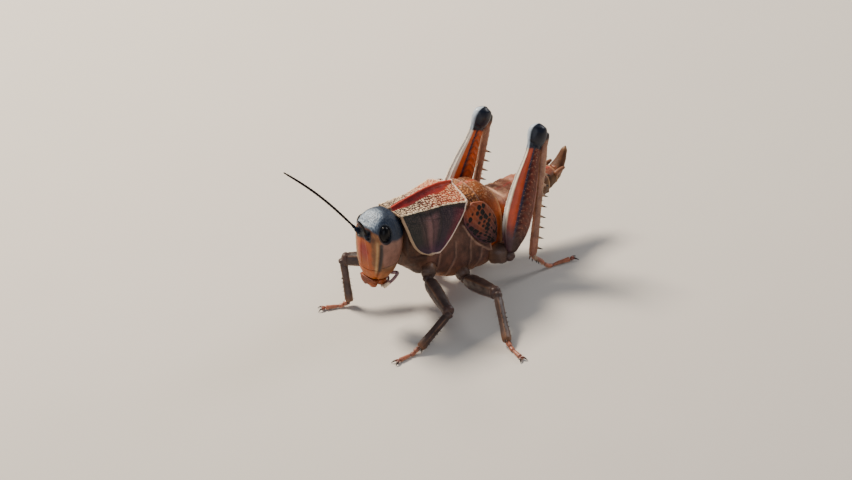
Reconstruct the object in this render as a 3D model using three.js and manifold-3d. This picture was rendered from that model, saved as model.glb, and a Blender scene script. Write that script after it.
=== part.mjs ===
import * as THREE from "three";
import { mergeVertices } from "three/addons/utils/BufferGeometryUtils.js";
import Module from "manifold-3d";

// A plains lubber grasshopper at life size, standing on six feet as a still museum model.
// Millimetres, +Z up, the head towards -Y and the animal's left side towards +X.
// Body shapes are written in the body's own frame: its zero is the front end of the pronotum's
// crest, +Y runs back along the body and +Z up from its back. The whole body is then pitched nose up.

const wasm = await Module();
wasm.setup();

// Driving dimensions
const bodyPitch = THREE.MathUtils.degToRad(8); // nose up from level
const hindHipHeight = 5.5; // hind hip above the floor
const seam = 0.12; // gap between touching plates
const pronotumLength = 13.8;
const crestRise = 1.4; // how far the crest climbs above its front end
const lobeDepth = 9.1; // crest front down to the lowest edge of the side lobe
const headTop = 0.46;
const mouthLevel = -11.5;
const eyeSize = new THREE.Vector3(0.95, 1.05, 1.5); // half width, half length, half height
const eyeCentre = new THREE.Vector3(2.95, -3.6, -2.65);
const antennaLength = 16.5;
const antennaRadius = 0.3;
const tegmenLength = 10.2;
const tegmenThickness = 0.55;
const thoraxEnd = 20.6;
const abdomenEnd = 36.0;
const abdomenRings = 7; // tergites 2 to 8
const tarsusRadius = 0.42;

// Outlines of the body, as heights and widths along its length
const backLine = through([
  [1.5, -3.5], [6, -1.8], [12, -1.2], [15, -0.75], [17.2, -0.6], [19.2, -1.3],
  [21, -2.8], [23.4, -4.25], [26, -4.3], [29, -4.0], [33, -4.0], [36, -4.2],
]);
const bellyLine = through([
  [1.5, -11.2], [4, -13.0], [7, -14.7], [10, -16.0], [14, -16.7],
  [17.6, -16.3], [21, -14.9], [25, -13.2], [29, -11.0], [33, -8.6], [36, -7.2],
]);
const flankWidth = through([
  [1.5, 3.4], [4, 4.2], [7, 4.8], [10, 5.1], [14, 5.5],
  [18, 5.6], [21, 5.3], [25, 4.85], [29, 3.95], [33, 2.75], [36, 1.95],
]);

// Colours of the real surfaces
const slateBlue = "#3d4a5c";
const faceOrange = "#b8623a";
const eyeBlack = "#17141a";
const antennaBlack = "#241d1c";
const shieldBrown = "#7a3a2c";
const pleuraBrown = "#7d6058";
const tegmenPink = "#b9675a";
const tergiteOrange = "#a9652f";
const tergiteTan = "#b98a6a";
const femurOrange = "#b5491c";
const tibiaTan = "#a67a62";
const legMauve = "#77656a";
const tarsusRed = "#8a4a38";

// A smooth curve through a few stations [place, value], as a function of the place
function through(stations) {
  return (place) => {
    let i = 0;
    while (i < stations.length - 2 && place > stations[i + 1][0]) {
      i += 1;
    }
    const [p0, v0] = stations[i];
    const [p1, v1] = stations[i + 1];
    const [pa, va] = stations[Math.max(i - 1, 0)];
    const [pb, vb] = stations[Math.min(i + 2, stations.length - 1)];
    const span = p1 - p0;
    const t = THREE.MathUtils.clamp((place - p0) / span, 0, 1);
    const startSlope = ((v1 - va) / (p1 - pa)) * span;
    const endSlope = ((vb - v0) / (pb - p0)) * span;
    const bend = t * t * (3 - 2 * t);
    return v0 + (v1 - v0) * bend + startSlope * t * (1 - t) ** 2 - endSlope * t * t * (1 - t);
  };
}

// A closed solid skinned over rings of equal point counts, with a fan over each end
function loft(rings) {
  const sides = rings[0].length;
  const points = rings.flat();
  const faces = [];
  for (let i = 0; i < rings.length - 1; i += 1) {
    for (let k = 0; k < sides; k += 1) {
      const a = i * sides + k;
      const b = i * sides + ((k + 1) % sides);
      faces.push(a, b, a + sides, b, b + sides, a + sides);
    }
  }
  const last = (rings.length - 1) * sides;
  for (const [start, flip] of [[0, true], [last, false]]) {
    const centre = new THREE.Vector3();
    for (let k = 0; k < sides; k += 1) {
      centre.addScaledVector(points[start + k], 1 / sides);
    }
    points.push(centre);
    for (let k = 0; k < sides; k += 1) {
      const a = start + k;
      const b = start + ((k + 1) % sides);
      faces.push(...(flip ? [b, a, points.length - 1] : [a, b, points.length - 1]));
    }
  }
  const geometry = new THREE.BufferGeometry().setFromPoints(points);
  geometry.setIndex(signedVolume(points, faces) < 0 ? faces.reverse() : faces);
  return geometry;
}

function signedVolume(points, faces) {
  let volume = 0;
  for (let i = 0; i < faces.length; i += 3) {
    const [a, b, c] = [points[faces[i]], points[faces[i + 1]], points[faces[i + 2]]];
    volume += a.dot(new THREE.Vector3().crossVectors(b, c)) / 6;
  }
  return volume;
}

// A ring round a centre: a superellipse with its own rise above and drop below the centre
function ovalRing(centre, across, up, half, rise, drop, sides, power = 2) {
  const ring = [];
  for (let k = 0; k < sides; k += 1) {
    const angle = (2 * Math.PI * (k + 0.5)) / sides;
    const c = Math.cos(angle);
    const s = Math.sin(angle);
    const x = half * Math.sign(c) * Math.abs(c) ** (2 / power);
    const z = (s > 0 ? rise : drop) * Math.sign(s) * Math.abs(s) ** (2 / power);
    ring.push(centre.clone().addScaledVector(across, x).addScaledVector(up, z));
  }
  return ring;
}

// A limb segment from one joint to the next. A station is
// [share of the length, half width, half depth above, half depth below].
function limb(from, to, upHint, stations, sides = 8, power = 2.2) {
  const axis = to.clone().sub(from);
  const across = new THREE.Vector3().crossVectors(axis, upHint).normalize();
  const up = new THREE.Vector3().crossVectors(across, axis).normalize();
  const rings = stations.map(([share, half, rise, drop]) =>
    ovalRing(from.clone().addScaledVector(axis, share), across, up, half, rise, drop, sides, power));
  return loft(rings);
}

// A tube along a smooth curve, its radius going from one end's to the other's
function taperedTube(points, startRadius, endRadius, steps, sides = 6) {
  const curve = new THREE.CatmullRomCurve3(points);
  const frames = curve.computeFrenetFrames(steps, false);
  const rings = [];
  for (let i = 0; i <= steps; i += 1) {
    const radius = THREE.MathUtils.lerp(startRadius, endRadius, i / steps);
    const centre = curve.getPointAt(i / steps);
    rings.push(ovalRing(centre, frames.normals[i], frames.binormals[i], radius, radius, radius, sides));
  }
  return loft(rings);
}

function toManifold(geometry) {
  const bare = new THREE.BufferGeometry();
  bare.setAttribute("position", geometry.getAttribute("position"));
  bare.setIndex(geometry.getIndex());
  const merged = mergeVertices(bare, 1e-4);
  return new wasm.Manifold(new wasm.Mesh({
    numProp: 3,
    vertProperties: new Float32Array(merged.getAttribute("position").array),
    triVerts: new Uint32Array(merged.getIndex().array),
  }));
}

function toGeometry(manifold) {
  const mesh = manifold.getMesh();
  const geometry = new THREE.BufferGeometry();
  geometry.setAttribute("position", new THREE.BufferAttribute(new Float32Array(mesh.vertProperties), 3));
  geometry.setIndex(Array.from(mesh.triVerts));
  return geometry;
}

// What is left of a piece outside its neighbours: its largest body, without loose chips
function cut(geometry, ...tools) {
  const rest = tools.reduce((body, tool) => body.subtract(toManifold(tool)), toManifold(geometry));
  const bodies = rest.decompose().sort((a, b) => b.volume() - a.volume());
  return toGeometry(bodies[0]);
}

function join(geometry, ...others) {
  return toGeometry(others.reduce((body, other) => body.add(toManifold(other)), toManifold(geometry)));
}

function common(geometry, tool) {
  return toGeometry(toManifold(geometry).intersect(toManifold(tool)));
}

// A prism right across the body from an outline of [y, z] points
function crossPrism(outline, halfWidth = 12) {
  const rings = [-halfWidth, halfWidth].map((x) => outline.map(([y, z]) => new THREE.Vector3(x, y, z)));
  return loft(rings);
}

const bodyGroup = new THREE.Group();
const legGroup = new THREE.Group();
bodyGroup.rotation.x = -bodyPitch;

function addNode(group, name, geometry, color, roughness) {
  geometry.computeVertexNormals();
  const material = new THREE.MeshStandardMaterial({ color, roughness, metalness: 0 });
  const mesh = new THREE.Mesh(geometry, material);
  mesh.name = name;
  group.add(mesh);
}

const sideNames = [[1, "left"], [-1, "right"]];
const xAxis = new THREE.Vector3(1, 0, 0);
const yAxis = new THREE.Vector3(0, 1, 0);
const zAxis = new THREE.Vector3(0, 0, 1);

// Pronotum: a roofed shield with a crest, two side carinae and a lobe down each side

// The edge of the shield seen from the side, from the crest's front end round under the lobe
function shieldOutline(grow) {
  const edge = [
    [0, -0.6], [0.7, -3.5], [1.6, -6.2], [3.4, -8.3], [5.2, -lobeDepth], [7.3, -lobeDepth],
    [8.9, -7.4], [11, -4.5], [12.4, -2.7], [12.9, -1.1], [pronotumLength, 0.4],
  ];
  const middle = new THREE.Vector2(7, -2);
  const grown = edge.map(([y, z]) => {
    const out = new THREE.Vector2(y, z).sub(middle).normalize();
    return [y + out.x * grow, z + out.y * grow];
  });
  return [[-grow, 4], ...grown, [pronotumLength + grow, 4]];
}

function pronotumRing(y) {
  const share = y / pronotumLength;
  const crest = crestRise * Math.sin(Math.min(share * 1.15, 1) * Math.PI * 0.5) - 0.75 * share ** 6;
  const carinaHalf = 2.8 + 1.0 * share + 1.7 * share ** 3;
  const carinaTop = -0.62 - 0.25 * share - 0.25 * share ** 4;
  const lobeHalf = 4.2 + 1.5 * share;
  const half = [
    [0.16, crest], [0.45, crest - 0.5],
    [carinaHalf * 0.55, THREE.MathUtils.lerp(crest - 0.6, carinaTop, 0.5)],
    [carinaHalf, carinaTop], [carinaHalf + 0.05, carinaTop - 0.5],
    [(carinaHalf + lobeHalf) / 2, -3.0],
    [lobeHalf, -6.2], [lobeHalf - 0.2, -lobeDepth - 0.6],
  ];
  const left = half.map(([x, z]) => new THREE.Vector3(x, y, z));
  const right = half.map(([x, z]) => new THREE.Vector3(-x, y, z)).reverse();
  return [...left, ...right];
}

const shieldStations = [0, 1.6, 3.6, 5.6, 7.8, 10, 12, pronotumLength];
const shieldBlock = loft(shieldStations.map(pronotumRing));
const pronotum = common(shieldBlock, crossPrism(shieldOutline(0)));
addNode(bodyGroup, "pronotum", pronotum, shieldBrown, 0.6);

// Thorax and abdomen, parted by thin cuts across one smooth trunk

function bodyRing(y, scale = 1, sides = 16) {
  const top = backLine(y);
  const low = bellyLine(y);
  const waist = low + 0.5 * (top - low);
  const centre = new THREE.Vector3(0, y, waist);
  const [half, rise, drop] = [flankWidth(y), top - waist, waist - low].map((size) => size * scale);
  return ovalRing(centre, xAxis, zAxis, half, rise, drop, sides, 2.5);
}

const thoraxStations = [1.9, 4, 6, 8, 10, 12, 14, 16, 18, thoraxEnd];
const shieldSpace = crossPrism(shieldOutline(seam));
const trunk = cut(loft(thoraxStations.map((y) => bodyRing(y))), shieldSpace);

// The rings of the trunk, each with its rear seam's [y at the belly, y at the back]
const trunkRings = [
  { name: "prothorax", rear: [7.2, 5.2], color: pleuraBrown },
  { name: "mesothorax", rear: [13.2, 12.4], color: pleuraBrown },
  { name: "metathorax", rear: [17.6, 16.2], color: pleuraBrown },
  { name: "abdomen_1", rear: [24, 24], color: tergiteOrange },
];
const bellyZ = -18;
const backZ = 2;
let [frontLow, frontHigh] = [0, 0];
for (const { name, rear: [rearLow, rearHigh], color } of trunkRings) {
  const slab = crossPrism([
    [frontLow + seam / 2, bellyZ], [rearLow - seam / 2, bellyZ],
    [rearHigh - seam / 2, backZ], [frontHigh + seam / 2, backZ],
  ]);
  addNode(bodyGroup, name, common(trunk, slab), color, 0.65);
  [frontLow, frontHigh] = [rearLow, rearHigh];
}

// Abdominal rings: each starts narrow inside the one before and flares to its own rear edge
const ringLength = (abdomenEnd - thoraxEnd) / abdomenRings;
for (let i = 0; i < abdomenRings; i += 1) {
  const start = thoraxEnd + seam + i * ringLength;
  const end = thoraxEnd + (i + 1) * ringLength;
  const rings = [bodyRing(start, 0.93), bodyRing(start + 0.35 * ringLength, 0.985), bodyRing(end, 1)];
  addNode(bodyGroup, `abdomen_${i + 2}`, loft(rings), tergiteTan, 0.65);
}

// Male abdomen end: an upturned subgenital plate under the supra-anal plate, with two cerci
const plateAxis = new THREE.CatmullRomCurve3([
  new THREE.Vector3(0, abdomenEnd - 0.6, -6.2),
  new THREE.Vector3(0, 37.1, -5.5),
  new THREE.Vector3(0, 38.6, -3.6),
  new THREE.Vector3(0, 39.7, -1.3),
]);
const plateHalves = through([[0, 1.75], [0.4, 1.5], [0.75, 0.95], [1, 0.3]]);
const plateDepths = through([[0, 1.3], [0.4, 1.05], [0.75, 0.7], [1, 0.3]]);
const plateRings = [0, 0.25, 0.5, 0.75, 0.92, 1].map((share) => {
  const along = plateAxis.getTangentAt(share);
  const up = new THREE.Vector3().crossVectors(xAxis, along);
  const depth = plateDepths(share);
  return ovalRing(plateAxis.getPointAt(share), xAxis, up, plateHalves(share), depth, depth, 12, 2.2);
});
const insideAbdomen = crossPrism([[30, -15], [abdomenEnd + seam, -15], [abdomenEnd + seam, 5], [30, 5]]);
const subgenitalPlate = cut(loft(plateRings), insideAbdomen);
addNode(bodyGroup, "subgenital_plate", subgenitalPlate, tergiteTan, 0.6);

const supraAnal = limb(
  new THREE.Vector3(0, abdomenEnd + seam, -4.85), new THREE.Vector3(0, 37.9, -4.45), zAxis,
  [[0, 1.5, 0.5, 0.5], [0.5, 1.1, 0.45, 0.45], [0.9, 0.6, 0.35, 0.35], [1, 0.3, 0.3, 0.3]], 10,
);
addNode(bodyGroup, "supra_anal_plate", cut(supraAnal, subgenitalPlate), tergiteOrange, 0.6);

for (const [side, label] of sideNames) {
  const root = new THREE.Vector3(side * 1.7, abdomenEnd - 0.2, -4.95);
  const tip = new THREE.Vector3(side * 1.75, 38.0, -4.1);
  const stations = [[0, 0.5, 0.5, 0.5], [0.5, 0.42, 0.42, 0.42], [1, 0.25, 0.25, 0.25]];
  const cone = limb(root, tip, zAxis, stations, 6);
  const cercus = cut(cone, insideAbdomen, subgenitalPlate, supraAnal);
  addNode(bodyGroup, `cercus_${label}`, cercus, tergiteTan, 0.6);
}

// Head: levels [z, front y, rear y, half width], from the mouth up to the crown
const headLevels = [
  [mouthLevel, -5.0, -1.0, 2.4], [-10.4, -5.3, -0.1, 3.0], [-8.4, -5.6, 0.7, 3.6],
  [-6, -5.8, 1.3, 3.9], [-3.6, -5.95, 1.5, 3.75], [-2, -5.85, 1.1, 3.4],
  [-0.9, -5.25, 0.4, 2.9], [-0.15, -4.4, -0.2, 2.3], [0.28, -3.6, -0.8, 1.5], [headTop, -2.9, -1.4, 0.8],
];
const headRings = headLevels.map(([z, front, rear, half]) => {
  const depth = (rear - front) / 2;
  return ovalRing(new THREE.Vector3(0, front + depth, z), xAxis, yAxis, half, depth, depth, 20, 2.5);
});

function eyeBall(side, grow) {
  const ball = new THREE.SphereGeometry(1, 12, 9);
  ball.scale(eyeSize.x + grow, eyeSize.y + grow, eyeSize.z + grow);
  ball.translate(side * eyeCentre.x, eyeCentre.y, eyeCentre.z);
  return ball;
}

const eyeGap = 0.05;
const headShell = cut(loft(headRings), eyeBall(1, eyeGap), eyeBall(-1, eyeGap), shieldSpace);
addNode(bodyGroup, "head", headShell, slateBlue, 0.45);
for (const [side, label] of sideNames) {
  addNode(bodyGroup, `eye_${label}`, toGeometry(toManifold(eyeBall(side, 0))), eyeBlack, 0.15);
}

// Mouthparts below the head capsule
const labrum = limb(
  new THREE.Vector3(0, -4.72, mouthLevel - seam), new THREE.Vector3(0, -4.5, mouthLevel - 1.9), yAxis,
  [[0, 2.0, 0.75, 0.5], [0.45, 2.1, 0.75, 0.5], [0.85, 1.7, 0.6, 0.45], [1, 1.1, 0.45, 0.35]], 10, 2.6,
);
addNode(bodyGroup, "labrum", labrum, faceOrange, 0.5);
for (const [side, label] of sideNames) {
  const root = new THREE.Vector3(side * 1.25, -2.95, mouthLevel - seam);
  const tip = new THREE.Vector3(side * 1.25, -2.95, mouthLevel - 1.7);
  const jawStations = [[0, 1.1, 0.9, 1.1], [0.5, 1.0, 0.8, 1.0], [1, 0.75, 0.5, 0.6]];
  const jaw = limb(root, tip, yAxis, jawStations, 8, 2.6);
  addNode(bodyGroup, `mandible_${label}`, jaw, faceOrange, 0.5);
  const palp = taperedTube([
    new THREE.Vector3(side * 2.1, -1.4, mouthLevel + 0.35),
    new THREE.Vector3(side * 2.95, -0.75, mouthLevel + 0.4),
    new THREE.Vector3(side * 3.0, -1.7, mouthLevel - 0.5),
    new THREE.Vector3(side * 2.6, -3.6, mouthLevel - 1.6),
  ], 0.3, 0.34, 6);
  addNode(bodyGroup, `palp_${label}`, cut(palp, headShell, jaw), legMauve, 0.5);
}

// Antennae: both reach up and out to their sides, in shallow arches
const antennaArches = { left: 0.4, right: 0.9 };
const antennaAims = {
  left: new THREE.Vector3(9.7, -9.9, 10.2),
  right: new THREE.Vector3(-9.4, -8.9, 10.65),
};
for (const [side, label] of sideNames) {
  const aim = antennaAims[label].clone().normalize();
  const root = new THREE.Vector3(side * 0.85, -5.75, -3.2).addScaledVector(aim, antennaRadius);
  const curve = [0, 0.3, 0.65, 1].map((share) => {
    const arch = antennaArches[label] * Math.sin(share * Math.PI);
    return root.clone().addScaledVector(aim, share * antennaLength).addScaledVector(zAxis, arch);
  });
  const shaft = cut(taperedTube(curve, antennaRadius, 0.25, 10), headShell);
  addNode(bodyGroup, `antenna_${label}`, shaft, antennaBlack, 0.5);
}

// Tegmen: a short oval wing pad lying on the flank, its root under the shield's rear edge.
// Each station is [share of the length, half width behind the axis, half width ahead of it].
const tegmenHalves = [
  [0.02, 1.0, 1.0], [0.1, 2.0, 1.95], [0.22, 2.8, 2.65], [0.45, 2.95, 2.8],
  [0.65, 2.6, 2.5], [0.8, 1.9, 1.95], [0.92, 0.95, 1.2], [1, 0.3, 0.35],
];

function tegmen(side) {
  const root = new THREE.Vector3(side * 5.5, 12.9, -2.0);
  const tip = new THREE.Vector3(side * 6.0, 18.5, -9.9);
  const outward = new THREE.Vector3(side, 0, 0.12).normalize();
  const along = tip.clone().sub(root).normalize();
  const across = new THREE.Vector3().crossVectors(along, outward).normalize();
  const rings = tegmenHalves.map(([share, rearHalf, frontHalf]) => {
    const half = (rearHalf + frontHalf) / 2;
    const bulge = 0.55 * Math.sin(share * Math.PI);
    const centre = root.clone().addScaledVector(along, share * tegmenLength);
    centre.addScaledVector(outward, bulge).addScaledVector(across, (side * (frontHalf - rearHalf)) / 2);
    return ovalRing(centre, across, outward, half, tegmenThickness / 2, tegmenThickness / 2, 10, 2.2);
  });
  return loft(rings);
}

for (const [side, label] of sideNames) {
  addNode(bodyGroup, `tegmen_${label}`, tegmen(side), tegmenPink, 0.55);
}

// Legs. A hip is written in the body's frame and turned with it, and a stance may carry its hip
// [out, back, up] on its coxa. Angles are seen from above, from straight out towards the head.
// A jumping thigh leans its upper edge in, and its tibia turns on a pivot below the knee's middle.
const hips = {
  front: { root: [3.3, 6.2, -11.6], hip: [4.8, 4.4, -13.2] },
  mid: { root: [3.6, 12.8, -14.4], hip: [5.6, 12.2, -15.7] },
  hind: { root: [4.4, 18.6, -13.2], hip: [7.5, 20.6, -13.2] },
};
const legSizes = {
  front: { femur: 8.0, tibia: 7.8, tarsus: 4.6, thick: 1.28, slim: 0.68, pivot: 0 },
  mid: { femur: 9.3, tibia: 9.4, tarsus: 5.0, thick: 1.28, slim: 0.7, pivot: 0 },
  hind: { femur: 21.8, tibia: 22.3, tarsus: 7.4, thick: 1.6, slim: 0.62, pivot: 1.45 },
};
const stances = [
  { pair: "front", label: "left", side: 1, swing: 14, lift: -20, shank: 95, foot: 95 },
  { pair: "front", label: "right", side: -1, swing: 50, lift: 5, shank: 150, foot: 55 },
  { pair: "mid", label: "left", side: 1, swing: 4, lift: 9, shank: 32, foot: 12 },
  { pair: "mid", label: "right", side: -1, swing: -30, lift: 12, shank: -42, foot: -35 },
  { pair: "hind", label: "left", side: 1, swing: -99.5, lift: 61, shank: 76, foot: -72, ankle: 3.3, lean: 0.26 },
  {
    pair: "hind", label: "right", side: -1, swing: -113, lift: 65, shank: 49.5, foot: -70,
    ankle: 3.9, carry: [0.7, -1.8, 0.2], lean: 0.07,
  },
];

const bodyTurn = new THREE.Matrix4().makeRotationX(-bodyPitch);
const hindHip = new THREE.Vector3(...hips.hind.hip).applyMatrix4(bodyTurn);
const floorLevel = hindHip.z - hindHipHeight;

function onBody([x, y, z], side) {
  return new THREE.Vector3(side * x, y, z).applyMatrix4(bodyTurn);
}

function heading(side, degrees) {
  const angle = THREE.MathUtils.degToRad(degrees);
  return new THREE.Vector3(side * Math.cos(angle), -Math.sin(angle), 0);
}

const femurShapes = {
  walking: [
    [0, 0.6, 0.6, 0.6], [0.15, 0.95, 0.9, 0.9], [0.5, 0.95, 1, 1],
    [0.85, 0.8, 0.85, 0.85], [0.97, 0.8, 0.85, 0.85], [1.05, 0.45, 0.5, 0.5],
  ],
  jumping: [
    [0, 0.7, 0.75, 0.8], [0.07, 1.0, 1.35, 1.4], [0.18, 1.3, 2.2, 2.2], [0.32, 1.4, 2.6, 2.45],
    [0.48, 1.3, 2.5, 2.3], [0.62, 1.05, 2.1, 1.9], [0.76, 0.8, 1.5, 1.4], [0.87, 0.8, 1.25, 1.2],
    [0.94, 1.08, 1.62, 1.75], [1, 1.15, 1.75, 1.85], [1.04, 1.0, 1.45, 1.5], [1.068, 0.55, 0.8, 0.8],
  ],
};

function femur(hip, knee, upward, pair, thick) {
  if (pair === "hind") {
    return limb(hip, knee, upward, femurShapes.jumping, 10, 2.1);
  }
  const scaled = ([share, ...sizes]) => [share, ...sizes.map((size) => size * thick)];
  return limb(hip, knee, upward, femurShapes.walking.map(scaled));
}

// The hind tibia carries two rows of spines along its rear edge
function tibiaSpines(knee, ankle, back) {
  const spines = [];
  const axis = ankle.clone().sub(knee);
  const across = new THREE.Vector3().crossVectors(axis, back).normalize();
  const spineCount = 8;
  for (let i = 0; i < spineCount; i += 1) {
    for (const row of [1, -1]) {
      const share = 0.3 + 0.085 * i;
      const base = knee.clone().addScaledVector(axis, share);
      const out = back.clone().addScaledVector(across, row * 0.75).addScaledVector(axis, 0.02).normalize();
      const root = base.clone().addScaledVector(out, 0.35);
      const tip = base.clone().addScaledVector(out, 1.75);
      spines.push(limb(root, tip, axis, [[0, 0.26, 0.26, 0.26], [1, 0.06, 0.06, 0.06]], 4));
    }
  }
  return spines;
}

// The foot: sloping joints down from the ankle, then the last joint flat on the floor with two claws
function tarsus(ankle, toward, length, floor, radius) {
  const heel = ankle.clone();
  const drop = ankle.z - floor;
  const slope = Math.min(length * 0.5, Math.max(drop, length * 0.4));
  const ball = heel.clone().addScaledVector(toward, slope * 0.85);
  ball.z = floor + radius * 0.8;
  const toe = ball.clone().addScaledVector(toward, length - slope);
  const sloped = limb(heel, ball, zAxis, [
    [0.02, radius, radius, radius], [0.5, radius * 1.15, radius, radius * 1.1],
    [1.02, radius * 1.1, radius, radius],
  ]);
  const flat = limb(ball, toe, zAxis, [
    [-0.08, radius * 0.9, radius * 0.9, radius], [0.3, radius, radius * 0.9, radius],
    [0.7, radius * 1.05, radius, radius], [1, radius * 1.3, radius, radius],
    [1.1, radius, radius * 0.8, radius],
  ]);
  const claws = [-0.5, 0.5].map((turn) => {
    const aim = toward.clone().applyAxisAngle(zAxis, turn);
    const tip = toe.clone().addScaledVector(aim, 1.5);
    tip.z = floor + 0.25;
    return limb(toe, tip, zAxis, [[0, 0.3, 0.3, 0.3], [0.6, 0.26, 0.26, 0.26], [1, 0.1, 0.1, 0.1]], 6);
  });
  const belowFloor = new THREE.BoxGeometry(200, 200, 10);
  belowFloor.translate(0, 0, floor - 5);
  return cut(join(sloped, flat, ...claws), belowFloor);
}

for (const stance of stances) {
  const { pair, label, side, swing, lift, shank, foot } = stance;
  const { ankle: ankleHeight = 0.95, carry = [0, 0, 0], lean = 0 } = stance;
  const sizes = legSizes[pair];
  const root = onBody(hips[pair].root, side);
  const hip = onBody(hips[pair].hip.map((place, i) => place + carry[i]), side);
  const rise = THREE.MathUtils.degToRad(lift);
  const thigh = heading(side, swing).multiplyScalar(Math.cos(rise)).addScaledVector(zAxis, Math.sin(rise));
  const femurStart = hip.clone().addScaledVector(thigh, 0.35);
  const knee = femurStart.clone().addScaledVector(thigh, sizes.femur);
  const upward = new THREE.Vector3(-side * lean, 0, 1);
  const femurGeometry = femur(femurStart, knee, upward, pair, sizes.thick);

  const dorsal = upward.clone().addScaledVector(thigh, -thigh.dot(upward)).normalize();
  const pivot = knee.clone().addScaledVector(dorsal, -sizes.pivot);
  const drop = pivot.z - (floorLevel + ankleHeight);
  const reach = Math.sqrt(Math.max(sizes.tibia ** 2 - drop ** 2, 0));
  const ankle = pivot.clone().addScaledVector(heading(side, shank), reach);
  ankle.z = floorLevel + ankleHeight;
  const shin = ankle.clone().sub(pivot);
  const back = thigh.clone().addScaledVector(shin, -thigh.dot(shin) / shin.lengthSq()).normalize();
  const { slim } = sizes;
  const tibiaCore = limb(pivot, ankle, back, [
    [0.03, slim * 1.1, slim * 1.2, slim], [0.12, slim, slim, slim], [0.6, slim * 0.95, slim, slim * 0.95],
    [0.93, slim * 1.15, slim * 1.15, slim], [0.985, slim * 0.9, slim * 0.9, slim * 0.9],
  ]);
  const tibiaFull = pair === "hind" ? join(tibiaCore, ...tibiaSpines(pivot, ankle, back)) : tibiaCore;
  const kneeSpace = femur(femurStart, knee, upward, pair, sizes.thick * 1.04);
  const coxa = limb(root, hip, zAxis, [
    [0, sizes.thick, sizes.thick * 1.1, sizes.thick * 1.1], [0.6, sizes.thick, sizes.thick * 1.25, sizes.thick],
    [1, sizes.thick * 0.7, sizes.thick * 0.95, sizes.thick * 0.7],
  ]);
  const trunkParts = bodyGroup.children.filter((mesh) => /thorax|abdomen_[12]|pronotum/.test(mesh.name));
  const trunkTools = trunkParts.map((mesh) => mesh.geometry.clone().applyMatrix4(bodyTurn));
  const tarsusGeometry = tarsus(ankle, heading(side, foot), sizes.tarsus, floorLevel, tarsusRadius);

  const [femurColor, tibiaColor] = pair === "hind" ? [femurOrange, tibiaTan] : [legMauve, legMauve];
  addNode(legGroup, `coxa_${pair}_${label}`, cut(coxa, ...trunkTools, femurGeometry), legMauve, 0.6);
  addNode(legGroup, `femur_${pair}_${label}`, femurGeometry, femurColor, 0.5);
  addNode(legGroup, `tibia_${pair}_${label}`, cut(tibiaFull, kneeSpace), tibiaColor, 0.5);
  addNode(legGroup, `tarsus_${pair}_${label}`, cut(tarsusGeometry, tibiaFull), tarsusRed, 0.5);
}

// The finished model stands with the middle of its footprint at zero
const grasshopper = new THREE.Group();
grasshopper.name = "grasshopper";
grasshopper.add(bodyGroup, legGroup);
grasshopper.updateMatrixWorld(true);
const bounds = new THREE.Box3().setFromObject(grasshopper, true);
const middle = bounds.getCenter(new THREE.Vector3());
grasshopper.position.set(-middle.x, -middle.y, -bounds.min.z);

export default grasshopper;
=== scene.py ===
import math

import bpy
import numpy as np
from mathutils import Matrix, Vector


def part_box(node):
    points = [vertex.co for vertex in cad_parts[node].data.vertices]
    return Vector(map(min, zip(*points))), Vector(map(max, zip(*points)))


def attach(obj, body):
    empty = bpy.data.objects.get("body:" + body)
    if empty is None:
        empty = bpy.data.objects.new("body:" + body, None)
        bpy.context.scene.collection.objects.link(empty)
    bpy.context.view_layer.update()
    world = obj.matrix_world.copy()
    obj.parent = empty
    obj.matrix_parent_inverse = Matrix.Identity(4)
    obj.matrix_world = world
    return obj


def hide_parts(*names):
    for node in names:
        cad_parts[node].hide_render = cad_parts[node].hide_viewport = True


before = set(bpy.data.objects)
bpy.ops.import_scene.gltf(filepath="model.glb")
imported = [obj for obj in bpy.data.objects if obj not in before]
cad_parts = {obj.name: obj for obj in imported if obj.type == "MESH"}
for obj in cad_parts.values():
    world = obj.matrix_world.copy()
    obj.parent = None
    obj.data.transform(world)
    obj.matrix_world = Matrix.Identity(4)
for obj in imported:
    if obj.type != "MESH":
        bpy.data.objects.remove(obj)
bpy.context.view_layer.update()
millimetre = 0.001
sides = ((1, "Left"), (-1, "Right"))

# Body shapes are in millimetres in the body's own frame: zero at the front of the neck shield's
# crest, y back along the body, z up from its back. The body is pitched nose up on its feet.
bodyPitch = math.radians(8)
eyeBall = dict(centre=(2.95, -3.6, -2.65), halfSizes=(0.95, 1.05, 1.5))


def pitched(points):
    # turn about x: y' = y cos p + z sin p, z' = z cos p - y sin p
    points = np.asarray(points, float)
    c, s = math.cos(bodyPitch), math.sin(bodyPitch)
    x, y, z = points[..., 0], points[..., 1], points[..., 2]
    return np.stack([x, y * c + z * s, z * c - y * s], axis=-1)


eyeCorners = [np.array(corner) for node in ("eye_left", "eye_right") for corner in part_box(node)]
eyeMiddle = np.mean(eyeCorners, axis=0) / millimetre
bodyShift = eyeMiddle - pitched((0, eyeBall["centre"][1], eyeBall["centre"][2]))


def onFloor(points):
    # body frame to the model's own frame, still in millimetres
    return pitched(points) + bodyShift


# Camera: the view's right and up in the body frame, and a long lens

cameraSetup = dict(
    right=(0.643, 0.766, 0.0), up=(-0.360, 0.302, 0.883),
    distance=1.5, imageWidth=145.6,  # metres; millimetres of subject across the view
    crestOffset=(-6.24, 5.47),  # where the crest's front lies from the view's middle, in mm
)


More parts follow.
